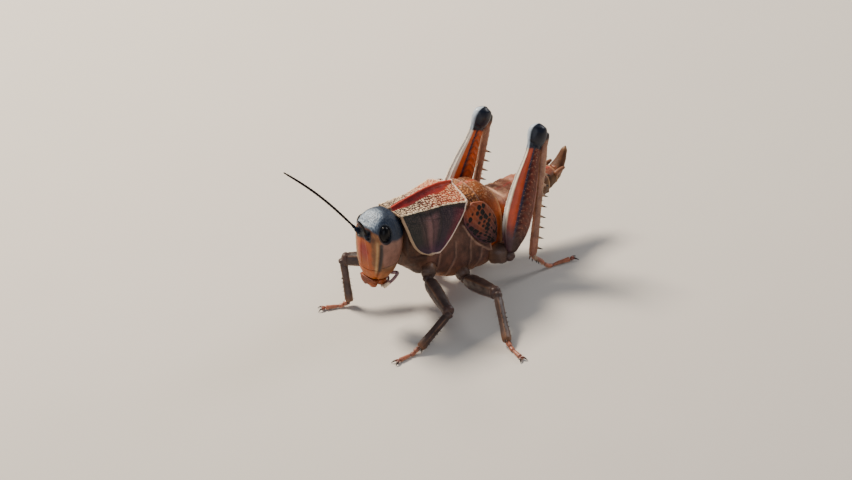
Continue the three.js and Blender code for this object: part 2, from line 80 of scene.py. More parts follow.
def placeCamera(setup):
    # the lens takes in imageWidth at its distance, and the crest lies at its offset from the middle
    right, up = (Vector(pitched(setup[key])).normalized() for key in ("right", "up"))
    towards = right.cross(up).normalized()
    up = towards.cross(right)
    aside, above = setup["crestOffset"]
    middle = Vector(onFloor((0, 0, 0))) - right * aside - up * above
    data = bpy.data.cameras.new("camera")
    data.sensor_width = 36
    data.lens = 36 * setup["distance"] / (setup["imageWidth"] * millimetre)
    data.clip_start, data.clip_end = 0.05, 20
    camera = bpy.data.objects.new("camera", data)
    bpy.context.scene.collection.objects.link(camera)
    turn = Matrix((right, up, towards)).transposed().to_4x4()
    place = middle * millimetre + towards * setup["distance"]
    camera.matrix_world = Matrix.Translation(place) @ turn
    bpy.context.scene.camera = camera


placeCamera(cameraSetup)
print("camera placed")


# Numbers to surfaces

def through(stations, places):
    # a cubic from station to station, its slope at each the chord between the neighbours
    table = np.asarray(stations, float)
    spots, values = table[:, 0], table[:, 1:]
    order = np.arange(len(spots))
    ahead, behind = np.minimum(order + 1, len(spots) - 1), np.maximum(order - 1, 0)
    slopes = (values[ahead] - values[behind]) / (spots[ahead] - spots[behind])[:, None]
    places = np.asarray(places, float)
    i = np.clip(np.searchsorted(spots, places, "right") - 1, 0, len(spots) - 2)
    span = (spots[i + 1] - spots[i])[..., None]
    t = np.clip((places - spots[i])[..., None] / span, 0, 1)
    start = (1 + 2 * t) * (1 - t) ** 2 * values[i] + t * (1 - t) ** 2 * span * slopes[i]
    end = t * t * (3 - 2 * t) * values[i + 1] - t * t * (1 - t) * span * slopes[i + 1]
    return start + end


def valueThrough(stations, places):
    # the same for stations with one value each
    return through(stations, places)[..., 0]


def smoothStep(low, high, value):
    # 0 below low, 1 above high, and 3t^2 - 2t^3 between
    t = np.clip((np.asarray(value, float) - low) / (high - low), 0, 1)
    return t * t * (3 - 2 * t)


def hump(distance, width):
    # a bell: e to the power of -(distance / width)^2
    return np.exp(-(np.asarray(distance, float) / width) ** 2)


def unit(vectors):
    # each vector over its own length
    vectors = np.asarray(vectors, float)
    return vectors / np.maximum(np.linalg.norm(vectors, axis=-1, keepdims=True), 1e-12)


def scatter(a, b, seed):
    # a repeatable number from 0 to 1 for each pair of whole numbers
    return np.modf(np.abs(np.sin(a * 127.1 + b * 311.7 + seed * 74.7) * 43758.5453))[0]


def grains(p, q, cell, seed, fill=1.0):
    # one domed grain in each cell of a jittered square lattice: 1 - (distance / radius)^2
    p, q = p / cell, q / cell
    height = np.zeros(np.broadcast(p, q).shape)
    for stepP in (-1, 0, 1):
        for stepQ in (-1, 0, 1):
            i, j = np.floor(p) + stepP, np.floor(q) + stepQ
            midP = i + 0.2 + 0.6 * scatter(i, j, seed)
            midQ = j + 0.2 + 0.6 * scatter(i, j, seed + 1)
            radius = fill * (0.28 + 0.3 * scatter(i, j, seed + 2))
            away = ((p - midP) ** 2 + (q - midQ) ** 2) / radius ** 2
            height = np.maximum(height, 1 - away)
    return np.clip(height, 0, 1)


def ripple(points, length, seed):
    # soft noise from -1 to 1: the mean of sine waves in seeded directions
    dice = np.random.default_rng(seed)
    total = 0
    for _ in range(9):
        wave = unit(dice.normal(size=3)) * (2 * math.pi / (length * dice.uniform(0.6, 1.6)))
        total = total + np.sin(points @ wave + dice.uniform(0, 6.28))
    return total / 4.5


def lineDistance(p, q, line):
    # distance from each (p, q) to a chain of straight runs
    nearest = np.full(np.broadcast(p, q).shape, 1e9)
    for (p0, q0), (p1, q1) in zip(line[:-1], line[1:]):
        dp, dq = p1 - p0, q1 - q0
        t = np.clip(((p - p0) * dp + (q - q0) * dq) / (dp * dp + dq * dq), 0, 1)
        nearest = np.minimum(nearest, np.hypot(p - p0 - t * dp, q - q0 - t * dq))
    return nearest


def gridNormals(points, inside, wrap=True):
    # cross product of the two grid tangents, turned to point away from the inside points
    down = np.gradient(points, axis=0)
    if wrap:
        around = np.roll(points, -1, axis=1) - np.roll(points, 1, axis=1)
    else:
        around = np.gradient(points, axis=1)
    normals = unit(np.cross(down, around))
    facing = np.sum(normals * (points - inside), axis=-1)
    return normals if facing.mean() > 0 else -normals


def raised(points, height, inside=None, wrap=True):
    # the grid moved along its normals
    inside = points.mean(axis=1, keepdims=True) if inside is None else inside
    return points + gridNormals(points, inside, wrap) * np.asarray(height)[..., None]


def endsDense(count, power=1.6):
    # shares from 0 to 1, closer together near both ends
    t = np.linspace(-1, 1, count)
    return 0.5 + 0.5 * np.sign(t) * (1 - (1 - np.abs(t)) ** power)


def roundEnd(near):
    # the root of 1 - (1 - t)^2 as t goes from 0 to 1, kept just above zero
    return np.sqrt(np.clip(1 - (1 - np.clip(near, 0, 1)) ** 2, 0.0004, 1))


def patch(points, masks=None, wrap=True, poles=(True, True)):
    # one grid of points, rows along and columns round; a pole closes an end at its ring's mean
    rows, cols = points.shape[:2]
    corners = points.reshape(-1, 3)
    index = np.arange(rows * cols).reshape(rows, cols)
    after = np.roll(index, -1, axis=1)
    if not wrap:
        index, after = index[:, :-1], index[:, 1:]
    quads = np.stack([index[:-1], after[:-1], after[1:], index[1:]], axis=-1).reshape(-1, 4)
    fans = []
    masks = masks or {}
    values = {key: np.broadcast_to(mask, (rows, cols)).reshape(-1) for key, mask in masks.items()}
    for wanted, row, order in ((poles[0], 0, 1), (poles[1], rows - 1, -1)):
        if wanted:
            middle = np.full(index.shape[1], len(corners))
            fans.append(np.stack([middle, after[row], index[row]][::order], axis=-1))
            corners = np.vstack([corners, points[row].mean(axis=0)])
            for key, mask in values.items():
                values[key] = np.append(mask, mask[row * cols:(row + 1) * cols].mean())
    triangles = np.vstack(fans) if fans else np.zeros((0, 3), int)
    return dict(corners=corners, quads=quads, triangles=triangles, masks=values)


def outwards(one):
    # signed volume of a closed patch: turned round if it comes out negative
    corners = one["corners"]
    quads, triangles = one["quads"], one["triangles"]
    fan = np.vstack([quads[:, [0, 1, 2]], quads[:, [0, 2, 3]], triangles])
    a, b, c = (corners[fan[:, k]] - corners.mean(axis=0) for k in range(3))
    if not one.get("open") and np.sum(a * np.cross(b, c)) < 0:
        one["quads"], one["triangles"] = quads[:, ::-1], triangles[:, ::-1]
    return one


pieceCount = 0


def buildPiece(name, patches, material, nodes, skin=None):
    # joins patches in millimetres into one mesh in metres, with a point attribute for each mask
    global pieceCount
    maskNames = sorted({key for one in patches for key in one["masks"]})
    corners, loops, sizes, masks, start = [], [], [], {key: [] for key in maskNames}, 0
    for one in map(outwards, patches):
        corners.append(one["corners"])
        for faces in (one["quads"], one["triangles"]):
            loops.append((faces + start).reshape(-1))
            sizes.append(np.full(len(faces), faces.shape[1]))
        for key in maskNames:
            masks[key].append(one["masks"].get(key, np.zeros(len(one["corners"]))))
        start += len(one["corners"])
    corners = np.vstack(corners) * millimetre
    loops, sizes = np.concatenate(loops), np.concatenate(sizes)
    mesh = bpy.data.meshes.new(name)
    mesh.vertices.add(len(corners))
    mesh.vertices.foreach_set("co", corners.astype(np.float32).reshape(-1))
    mesh.loops.add(len(loops))
    mesh.loops.foreach_set("vertex_index", loops.astype(np.int32))
    mesh.polygons.add(len(sizes))
    mesh.polygons.foreach_set("loop_start", (np.cumsum(sizes) - sizes).astype(np.int32))
    mesh.polygons.foreach_set("use_smooth", np.ones(len(sizes), bool))
    for key in maskNames:
        attribute = mesh.attributes.new(key, "FLOAT", "POINT")
        attribute.data.foreach_set("value", np.concatenate(masks[key]).astype(np.float32))
    mesh.update(calc_edges=True)
    mesh.validate()
    piece = bpy.data.objects.new(name, mesh)
    bpy.context.scene.collection.objects.link(piece)
    mesh.materials.append(material)
    if skin:
        solid = piece.modifiers.new("thickness", "SOLIDIFY")
        solid.thickness, solid.offset = skin * millimetre, -1
    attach(piece, "root")
    if nodes:
        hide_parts(*nodes)
    pieceCount += 1
    return piece


def oval(angle, half, rise, drop, power):
    # superellipse: half sgn(cos)|cos|^(2/power) across, rise or drop sgn(sin)|sin|^(2/power) up
    c, s = np.cos(angle), np.sin(angle)
    across = half * np.sign(c) * np.abs(c) ** (2 / power)
    up = np.where(s > 0, rise, drop) * np.sign(s) * np.abs(s) ** (2 / power)
    return across, up


def ringAngles(cols):
    # 2 pi (k + 1/2) / cols for each column k
    return 2 * math.pi * (np.arange(cols) + 0.5) / cols


def limbGrid(start, end, hint, stations, rows=60, cols=32, power=2.2, blunt=0.04, bend=0.0):
    # rings on the line from start to end: their stations are share, half width, rise and drop,
    # each end is rounded over the blunt share, and the line is bowed by bend * sin(pi share)
    start, end = np.asarray(start, float), np.asarray(end, float)
    axis = end - start
    across = unit(np.cross(axis, hint))
    up = unit(np.cross(across, axis))
    low, high = stations[0][0], stations[-1][0]
    share = (low + (high - low) * endsDense(rows))[:, None]
    close = roundEnd(np.minimum(share - low, high - share) / blunt)
    half, rise, drop = np.moveaxis(through(stations, share), -1, 0) * close
    angle = ringAngles(cols)[None]
    x, z = oval(angle, half, rise, drop, power)
    line = start + share * axis + bend * np.sin(np.clip(share, 0, 1) * math.pi) * up
    points = line[:, None] + x[..., None] * across + z[..., None] * up
    return points, share, angle


def pathFrames(path, hint):
    # unit tangents, and two directions square to them that stay near the hint
    tangent = unit(np.gradient(path, axis=0))
    across = unit(np.cross(tangent, hint))
    return tangent, across, unit(np.cross(across, tangent))


def tubeGrid(path, radius, hint, cols=16, flat=1.0):
    # a round or flattened section carried along a path
    _, across, up = pathFrames(path, hint)
    angle = ringAngles(cols)[None, :, None]
    radius = np.broadcast_to(radius, len(path))[:, None, None]
    ring = np.cos(angle) * across[:, None] + flat * np.sin(angle) * up[:, None]
    return path[:, None] + radius * ring


def ballGrid(centre, halfSizes, rows=24, cols=32, axes=np.eye(3)):
    # an ellipsoid: polar angle from its third axis, turned round it
    polar = np.linspace(0.02, math.pi - 0.02, rows)[:, None]
    angle = ringAngles(cols)[None]
    local = np.stack([np.sin(polar) * np.cos(angle), np.sin(polar) * np.sin(angle),
                      np.cos(polar) * np.ones_like(angle)], axis=-1)
    return np.asarray(centre, float) + (local * np.asarray(halfSizes)) @ np.asarray(axes, float)


# Shader building

def tint(code):
    # a hex colour as linear red, green, blue and alpha
    channels = np.array([int(code[i:i + 2], 16) for i in (1, 3, 5)]) / 255
    linear = np.where(channels <= 0.04045, channels / 12.92, ((channels + 0.055) / 1.055) ** 2.4)
    return (*linear.tolist(), 1.0)


def fillSockets(tree, node, inputs):
    # a socket is linked, and anything else becomes the input's own value
    for key, value in inputs.items():
        if isinstance(value, bpy.types.NodeSocket):
            tree.links.new(value, node.inputs[key])
        else:
            node.inputs[key].default_value = value


def add(tree, kind, inputs=None, **settings):
    node = tree.nodes.new("ShaderNode" + kind)
    for key, value in settings.items():
        setattr(node, key, value)
    fillSockets(tree, node, inputs or {})
    return node


def mixed(tree, factor, first, second, blend="MIX"):
    # the first colour where the factor is 0 and the second where it is 1
    colours = {0: factor, 6: first, 7: second}
    return add(tree, "Mix", colours, data_type="RGBA", blend_type=blend).outputs[2]


def calc(tree, operation, *values):
    return add(tree, "Math", dict(enumerate(values)), operation=operation).outputs[0]


def spread(tree, value, low, high, first=0.0, last=1.0):
    # smooth step from first to last as the value goes from low to high
    ends = {"Value": value, "From Min": low, "From Max": high, "To Min": first, "To Max": last}
    return add(tree, "MapRange", ends, interpolation_type="SMOOTHSTEP").outputs["Result"]


def ramp(tree, value, stops):
    # colours along a value: each stop is a place from 0 to 1 and a hex colour
    node = add(tree, "ValToRGB", {0: value})
    elements = node.color_ramp.elements
    elements.remove(elements[1])
    for k, (place, code) in enumerate(stops):
        element = elements[0] if k == 0 else elements.new(place)
        element.position, element.color = place, tint(code)
    return node.outputs["Color"]


def mask(tree, name, strength=1.0):
    # a piece's own point attribute, times a strength
    share = add(tree, "Attribute", attribute_name=name).outputs["Fac"]
    return share if strength == 1 else calc(tree, "MULTIPLY", share, strength)


def mottled(tree, tone, pair, low=0.36, high=0.64):
    # from the first colour of the pair to the second as the tone rises
    return mixed(tree, spread(tree, tone, low, high), tint(pair[0]), tint(pair[1]))


def layered(tree, colour, layers):
    # each layer covers the colour where its mask is high: mask name, strength and colour
    for name, strength, code in layers:
        colour = mixed(tree, mask(tree, name, strength), colour, tint(code))
    return colour


def startGroup(name, inputs, outputs):
    tree = bpy.data.node_groups.new(name, "ShaderNodeTree")
    for key, kind in inputs:
        tree.interface.new_socket(key, in_out="INPUT", socket_type="NodeSocket" + kind)
    for key, kind in outputs:
        tree.interface.new_socket(key, in_out="OUTPUT", socket_type="NodeSocket" + kind)
    return tree, tree.nodes.new("NodeGroupInput").outputs, tree.nodes.new("NodeGroupOutput").inputs


def makeCuticleGrain():
    # fine pits and wrinkles: Height is for a bump, Tone a soft mottling round 0.5
    tree, given, wanted = startGroup(
        "cuticleGrain", (("Vector", "Vector"), ("Scale", "Float")),
        (("Height", "Float"), ("Tone", "Float")))
    fineScale = dict(Vector=given["Vector"], Scale=given["Scale"])
    slowScale = dict(Vector=given["Vector"], Scale=calc(tree, "MULTIPLY", given["Scale"], 0.12))
    fine = add(tree, "TexNoise", fineScale | dict(Detail=4.0))
    pits = add(tree, "TexVoronoi", fineScale, feature="SMOOTH_F1")
    slow = add(tree, "TexNoise", slowScale | dict(Detail=5.0))
    height = calc(tree, "ADD", fine.outputs[0], calc(tree, "MULTIPLY", pits.outputs["Distance"], 0.6))
    tone = calc(tree, "ADD", calc(tree, "MULTIPLY", slow.outputs[0], 0.7),
                calc(tree, "MULTIPLY", fine.outputs[0], 0.3))
    tree.links.new(height, wanted["Height"])
    tree.links.new(tone, wanted["Tone"])
    return tree


def makeSpeckle():
    # soft round spots of uneven size, one in each cell of a cell pattern
    tree, given, wanted = startGroup(
        "speckle", (("Vector", "Vector"), ("Scale", "Float"), ("Size", "Float")), (("Mask", "Float"),))
    cells = add(tree, "TexVoronoi", dict(Vector=given["Vector"], Scale=given["Scale"]))
    uneven = add(tree, "SeparateColor", {0: cells.outputs["Color"]}).outputs[0]
    size = calc(tree, "MULTIPLY", given["Size"], calc(tree, "ADD", uneven, 0.35))
    inner = calc(tree, "MULTIPLY", size, 0.55)
    tree.links.new(spread(tree, cells.outputs["Distance"], inner, size, 1.0, 0.0), wanted["Mask"])
    return tree


cuticleGrain = makeCuticleGrain()
speckle = makeSpeckle()


def placeGroup(tree, group, inputs):
    node = tree.nodes.new("ShaderNodeGroup")
    node.node_tree = group
    fillSockets(tree, node, inputs)
    return node.outputs


def mottling(tree, place, scale):
    # the grain's soft tone on its own
    return placeGroup(tree, cuticleGrain, dict(Vector=place, Scale=scale))["Tone"]


def startMaterial(name, roughness=0.45, coat=0.0, specular=0.5):
    # gives the material, its tree, its shader and its place on the piece
    material = bpy.data.materials.new(name)
    material.use_nodes = True
    tree = material.node_tree
    shader = tree.nodes["Principled BSDF"]
    shader.inputs["Roughness"].default_value = roughness
    shader.inputs["Specular IOR Level"].default_value = specular
    shader.inputs["Coat Weight"].default_value = coat
    shader.inputs["Coat Roughness"].default_value = 0.12
    return material, tree, shader, add(tree, "TexCoord").outputs["Object"]


def bumpSurface(tree, shader, height, depth, strength=1.0):
    # the depth is in millimetres
    inputs = dict(Height=height, Distance=depth * millimetre, Strength=strength)
    tree.links.new(add(tree, "Bump", inputs).outputs[0], shader.inputs["Normal"])


def makeMaterial(name, paint, grainScale=5000.0, bumpDepth=0.03, toneSpan=0.35, **gloss):
    # paint gives the colour: the mottling lightens and darkens it, and the grain bumps the surface
    material, tree, shader, place = startMaterial(name, **gloss)
    colour = paint(tree, place)
    grain = placeGroup(tree, cuticleGrain, dict(Vector=place, Scale=grainScale))
    shade = spread(tree, grain["Tone"], 0.3, 0.7, 1 - toneSpan, 1 + toneSpan * 0.6)
    grey = add(tree, "CombineColor", {0: shade, 1: shade, 2: shade}).outputs[0]
    tree.links.new(mixed(tree, 1.0, colour, grey, "MULTIPLY"), shader.inputs["Base Color"])
    bumpSurface(tree, shader, grain["Height"], bumpDepth)
    return material


def raisedBy(heights, reliefs):
    # the sum of every relief times its height in millimetres
    return sum(heights[key] * relief for key, relief in reliefs.items())


# Head: a capsule with its face ridges, sutures, feeler sockets and eye rims

head = dict(
    levels=(  # share down the head, height, front y, rear y, half width
        (0, 0.5, -2.35, -2.05, 0.1), (0.05, 0.46, -2.9, -1.4, 0.8), (0.11, 0.28, -3.6, -0.8, 1.5),
        (0.18, -0.15, -4.4, -0.2, 2.3), (0.26, -0.9, -5.25, 0.4, 2.9), (0.34, -2.0, -5.85, 1.1, 3.4),
        (0.45, -3.6, -5.95, 1.5, 3.75), (0.6, -6.0, -5.8, 1.3, 3.9), (0.76, -8.4, -5.6, 0.7, 3.6),
        (0.9, -10.4, -5.3, -0.1, 3.0), (1.0, -11.5, -5.0, -1.0, 2.4),
    ),
    carina=((-11, 2.0), (-9, 2.45), (-7, 2.75), (-5, 2.9), (-3.2, 2.65), (-1.9, 1.8), (-1.3, 0.9)),
    costa=((-11, 1.05), (-8, 1.0), (-5.5, 0.8), (-3.3, 0.5), (-2.0, 0.42), (-1.2, 0.6)),
    capLine=((-6.5, -1.6), (-5.6, -1.85), (-5.0, -2.5), (-3.6, -3.9), (-1.0, -4.15), (1.2, -4.5)),
    socket=(1.25, -3.3), browLevel=-1.35, ocellusLevel=-4.1, redLevel=-6.1, genaLevel=-9.1,
    clypeusLevel=-9.8, stripeY=-4.55, patch=(2.2, -3.5), rows=260, cols=300,
    heights=dict(
        carina=0.1, costa=0.02, channel=-0.09, socket=0.12, pit=-0.25, ocellus=0.1, clypeus=-0.1,
        subocular=-0.13, gena=-0.1, nape=-0.08, brow=0.2, eyeDip=-0.5, eyeRim=0.06, wrinkles=0.03,
        pits=-0.035, waves=0.012,
    ),
    finish=dict(roughness=0.5, specular=0.4, grainScale=6500.0, toneSpan=0.25),
    cheek=("#9c7464", "#80594b"), beside=("#98643a", "#764726"), jowl="#84603f", flush="#8c2218",
    middle=((0.1, "#b8581a"), (0.4, "#b4521c"), (0.62, "#a0461a"), (0.85, "#a85018"), (1, "#a84c12")),
    # the paler pair of cap colours is a painted silver highlight
    capBlue=("#1c2c42", "#111d2e"), sheenColours=("#a8b8c8", "#71859a"),
    faceLayers=(("pale", 1, "#bf9462"), ("mouth", 1, "#ab5614"), ("stripe", 0.88, "#222426"),
                ("patch", 0.75, "#421c12")),
    # the first dark layer is partly navy colour and partly a painted shadow under the cap's front edge
    topLayers=(("navy", 1, "#101722"), ("crease", 0.5, "#2b1a16")),
)


def headGrid(shape):
    # superellipses of power 2.5 stacked from crown to mouth, then raised by the sum of the reliefs
    share = np.linspace(0, 1, shape["rows"])[:, None]
    z, front, rear, half = np.moveaxis(through(shape["levels"], share), -1, 0)
    depth = (rear - front) / 2
    x, y = oval(ringAngles(shape["cols"])[None], half, depth, depth, 2.5)
    points = np.stack([x, y + front + depth, np.broadcast_to(z, x.shape)], axis=-1)
    normals = gridNormals(points, points.mean(axis=1, keepdims=True))
    x, y, z = np.abs(points[..., 0]), points[..., 1], points[..., 2]
    face = smoothStep(0.25, 0.7, -normals[..., 1])
    flank = smoothStep(0.35, 0.75, np.abs(normals[..., 0]))
    below = smoothStep(-1.3, -1.8, z)
    aboveClypeus = smoothStep(-9.9, -9.0, z)
    carinaAway = x - valueThrough(shape["carina"], z)
    costaPlace = valueThrough(shape["costa"], z)
    socketAway = np.hypot(x - shape["socket"][0], z - shape["socket"][1])
    clypeusLine = shape["clypeusLevel"] + 0.25 * smoothStep(0.6, 2.2, x)
    eyeY, eyeZ = eyeBall["centre"][1:]
    eyeAway = np.hypot((y - eyeY) / eyeBall["halfSizes"][1], (z - eyeZ) / eyeBall["halfSizes"][2])
    eyeAway = eyeAway + 9 * smoothStep(1.9, 1.2, x)
    capEdge = valueThrough(shape["capLine"], y) + 0.22 * ripple(points, 2.2, 3)
    cap = smoothStep(-0.35, 0.35, z - capEdge)
    pits = grains(points[..., 0] + 0.3 * z, y + 0.2 * z, 0.34, 4, 1.15) * cap
    reliefs = dict(
        carina=hump(carinaAway, 0.17) * below * smoothStep(-11.4, -10.6, z) * np.maximum(face, 0.4),
        costa=hump(x - costaPlace, 0.15) * face * below * smoothStep(-9.9, -9.3, z),
        channel=(smoothStep(costaPlace, costaPlace - 0.25, x) * face * smoothStep(-2.6, -3.6, z)
                 * aboveClypeus),
        socket=hump(socketAway - 0.52, 0.12) * face,
        pit=smoothStep(0.42, 0.2, socketAway) * face,
        ocellus=hump(np.hypot(x, z - shape["ocellusLevel"]), 0.2) * face,
        clypeus=hump(z - clypeusLine, 0.09) * face,
        subocular=hump(y - shape["stripeY"], 0.13) * flank * smoothStep(-4.6, -5.2, z),
        gena=hump(z - shape["genaLevel"] - 0.12 * (y + 4.5), 0.09) * flank * smoothStep(-4.6, -4.2, y),
        nape=hump(y - 0.6 + 0.03 * (z + 5) ** 2, 0.12) * flank * smoothStep(-2.5, -4, z),
        brow=hump(z - shape["browLevel"], 0.22) * face * smoothStep(2.2, 1.0, x),
        eyeDip=smoothStep(1.05, 0.85, eyeAway),
        eyeRim=hump(eyeAway - 1.13, 0.1),
        wrinkles=ripple(points * (1, 1, 1.6), 0.55, 5) * ripple(points, 1.7, 6) * cap,
        pits=pits,
        waves=ripple(points, 0.8, 7),
    )
    paleRidge = hump(carinaAway, 0.22) * face * smoothStep(-3.4, -4.2, z) * smoothStep(-10.8, -9.5, z)
    stripe = hump(y - shape["stripeY"], 0.28) * flank * smoothStep(-4.0, -4.5, z) * smoothStep(-11.0, -8.6, z)
    # under the cap's front edge: the navy of the feeler bases and a painted shadow cast by the overhanging
    # cap; the rim round the sockets and eye is navy colour
    browNavyAndShadow = (smoothStep(-4.25, -3.5, z + 0.35 * smoothStep(0.8, 1.8, x)) * smoothStep(2.1, 1.6, x)
                * smoothStep(-4.2, -4.7, y) * (1 - cap))
    navyRim = hump(socketAway, 0.6) * face + 0.9 * smoothStep(1.3, 1.1, eyeAway)
    redAway = hump((x + 0.15 * ripple(points, 1.1, 9)) / 1.45, 1.0) * hump((z - shape["redLevel"]) / 1.9, 1.0)
    patchAway = np.hypot((x - shape["patch"][0]) / 0.42, (z - shape["patch"][1]) / 0.75)
    creases = 0.8 * reliefs["clypeus"] + reliefs["subocular"] + reliefs["gena"] + reliefs["pit"]
    masks = dict(
        cap=cap,
        face=face * smoothStep(2.2, 1.5, x + 0.12 * ripple(points, 1.6, 8)) * (1 - cap),
        pale=np.clip(0.75 * paleRidge + 0.3 * reliefs["nape"], 0, 1),
        stripe=np.clip(1.25 * stripe, 0, 1),
        navy=np.clip(browNavyAndShadow + navyRim, 0, 1),
        red=face * redAway,
        patch=hump(patchAway, 1.0) * face * (1 - cap),
        down=smoothStep(-3.5, -11.5, z),
        carina=smoothStep(3.0, 3.6, x),
        mouth=smoothStep(-9.4, -10.8, z) * (0.25 + 0.75 * face),
        crease=np.clip(creases, 0, 1),
        # painted highlight: a silver sheen on the front of the cap, left off the pits
        frost=cap * smoothStep(-1.6, -3.8, y) * smoothStep(-2.4, -1.1, z) * (1 - 0.75 * pits)
        * smoothStep(2.2, 0.7, x + 0.35 * (y + 2.5)),
    )
    return points + normals * raisedBy(shape["heights"], reliefs)[..., None], masks


def paintHead(tree, place):
    # cheek and jowl, the face between its ridges, the stripes, then the blue cap with a painted highlight on
    # its front, the navy with a painted shadow under the cap's edge, and the dark creases
    grain = mottling(tree, place, 900.0)
    cheek = mottled(tree, grain, head["cheek"], 0.35, 0.65)
    cheek = mixed(tree, spread(tree, mask(tree, "down"), 0.7, 0.85), cheek, tint(head["jowl"]))
    beside = mottled(tree, grain, head["beside"], 0.38, 0.64)
    side = mixed(tree, spread(tree, mask(tree, "carina"), 0.1, 0.9), beside, cheek)
    down = calc(tree, "ADD", mask(tree, "down"), calc(tree, "MULTIPLY", grain, 0.16))
    middle = ramp(tree, down, head["middle"])
    middle = mixed(tree, spread(tree, mask(tree, "red"), 0.15, 0.9), middle, tint(head["flush"]))
    colour = mixed(tree, mask(tree, "face"), side, middle)
    colour = layered(tree, colour, head["faceLayers"])
    blue = mottled(tree, grain, head["capBlue"], 0.35, 0.68)
    # painted highlight: the silver sheen over the cap's front
    blue = mixed(tree, mask(tree, "frost"), blue, mottled(tree, grain, head["sheenColours"], 0.4, 0.6))
    colour = mixed(tree, mask(tree, "cap"), colour, blue)
    return layered(tree, colour, head["topLayers"])


headPoints, headMasks = headGrid(head)
headCuticle = makeMaterial("headCuticle", paintHead, **head["finish"])
buildPiece("headCapsule", [patch(onFloor(headPoints), headMasks)], headCuticle, ["head"])

eye = dict(
    facetScale=11000.0, facetDepth=0.012, cloudScale=1500.0, dark=("#050508", "#0e0c12"), rim="#10121a",
    gloss=dict(roughness=0.28, coat=0.04, specular=0.15),
)


def eyeMaterial():
    # small domed facets on a dark, clouded lens
    material, tree, shader, place = startMaterial("eyeLens", **eye["gloss"])
    facets = add(tree, "TexVoronoi", dict(Vector=place, Scale=eye["facetScale"]), feature="SMOOTH_F1")
    cloud = add(tree, "TexNoise", dict(Vector=place, Scale=eye["cloudScale"], Detail=3.0)).outputs[0]
    colour = layered(tree, mottled(tree, cloud, eye["dark"], 0.42, 0.68), (("rim", 0.7, eye["rim"]),))
    tree.links.new(colour, shader.inputs["Base Color"])
    dome = calc(tree, "MULTIPLY", facets.outputs["Distance"], -1.0)
    bumpSurface(tree, shader, dome, eye["facetDepth"], 0.6)
    return material


eyeLens = eyeMaterial()
for side, label in sides:
    centre = np.array(eyeBall["centre"]) * (side, 1, 1)
    ball = ballGrid(centre, eyeBall["halfSizes"], 60, 80)
    around = smoothStep(0.35, 0.0, side * (ball[..., 0] - centre[0]))
    eyePatch = patch(onFloor(ball), dict(rim=around))
    buildPiece("eye" + label, [eyePatch], eyeLens, ["eye_" + label.lower()])
print("head and eyes made")


# Mouthparts: the upper lip, a pair of jaws and two pairs of palps

mouth = dict(
    level=-11.5, gap=0.12, lipY=(-4.72, -4.5), lipDrop=1.78, jawPlace=(1.25, -2.95), jawDrop=1.58,
    labrum=((0, 2.15, 0.6, 0.42), (0.45, 2.0, 0.6, 0.42), (0.8, 1.7, 0.5, 0.36), (0.95, 1.2, 0.4, 0.3),
            (1, 0.9, 0.3, 0.25)),
    jaw=((0, 1.1, 0.9, 1.1), (0.5, 1.0, 0.8, 1.0), (1, 0.75, 0.5, 0.6)),
    palps=(  # route from the mouth's level, radii and number of joints
        (((2.1, -1.4, 0.35), (2.95, -0.75, 0.4), (3.0, -1.7, -0.5), (2.6, -3.6, -1.6)),
         (0.3, 0.3, 0.27, 0.34), 4),
        (((0.9, -1.6, -0.5), (1.5, -1.5, -1.0), (1.8, -2.3, -1.5), (1.5, -3.2, -2.0)),
         (0.24, 0.22, 0.2, 0.24), 3),
    ),
    finish=dict(roughness=0.5, specular=0.3, grainScale=6000.0), colours=("#a24e14", "#6c280c"),
    layers=(("dark", 1, "#2a1713"),),
    palpFinish=dict(roughness=0.4, coat=0.1, bumpDepth=0.02), palpColour="#7d5a5e",
    palpLayers=(("tip", 1, "#e8cfae"), ("joint", 1, "#4c3236")),
)


def paintMouth(tree, place):
    return layered(tree, mottled(tree, mottling(tree, place, 1400.0), mouth["colours"]), mouth["layers"])


def paintPalp(tree, place):
    return layered(tree, tint(mouth["palpColour"]), mouth["palpLayers"])


def jointedTube(route, radii, joints, rows=90, cols=18):
    # a tube whose radius swells along each joint and pinches between them: 1 + 0.12 sin(pi t)
    share = np.linspace(0, 1, rows)
    path = through([(k / (len(route) - 1), *point) for k, point in enumerate(route)], share)
    place = share * joints
    pinch = 1 + 0.12 * np.sin((place - np.floor(place - 1e-9)) * math.pi) - 0.06
    size = valueThrough([(k / (len(radii) - 1), r) for k, r in enumerate(radii)], share)
    grid = tubeGrid(path, size * pinch * roundEnd((1 - share) / 0.03), (0, 0, 1), cols)
    joint = 1 - smoothStep(0.0, 0.12, np.abs(place - np.round(place)))
    return grid, share[:, None], joint[:, None]


def lipGrid(top):
    # a broad superellipse limb with a notch in its lower edge
    ends = ((0, mouth["lipY"][0], top), (0, mouth["lipY"][1], top - mouth["lipDrop"]))
    lip, share, _ = limbGrid(*ends, (0, 1, 0), mouth["labrum"], rows=60, cols=80, power=3.4, blunt=0.07)
    notch = smoothStep(0.75, 1.0, share) * hump(lip[..., 0], 0.45)
    lip = lip + notch[..., None] * (0, 0, 0.35)
    line = hump(share - 0.3, 0.05)
    dark = 0.7 * np.clip(0.4 * line + smoothStep(0.9, 1, share), 0, 1)
    return raised(lip, -0.03 * line + 0.025 * ripple(lip, 0.5, 11)), dict(dark=dark)


def jawGrid(side, top):
    # a superellipse limb that hangs down, narrower below, with a seam across its middle
    x, y = mouth["jawPlace"]
    jaw, share, _ = limbGrid((side * x, y, top), (side * x, y, top - mouth["jawDrop"]), (0, 1, 0),
                             mouth["jaw"], rows=50, cols=48, power=2.6, blunt=0.2)
    jaw = raised(jaw, 0.05 * ripple(jaw, 0.9, 12) - 0.06 * hump(share - 0.45, 0.06))
    return jaw, dict(dark=smoothStep(0.55, 0.95, share))


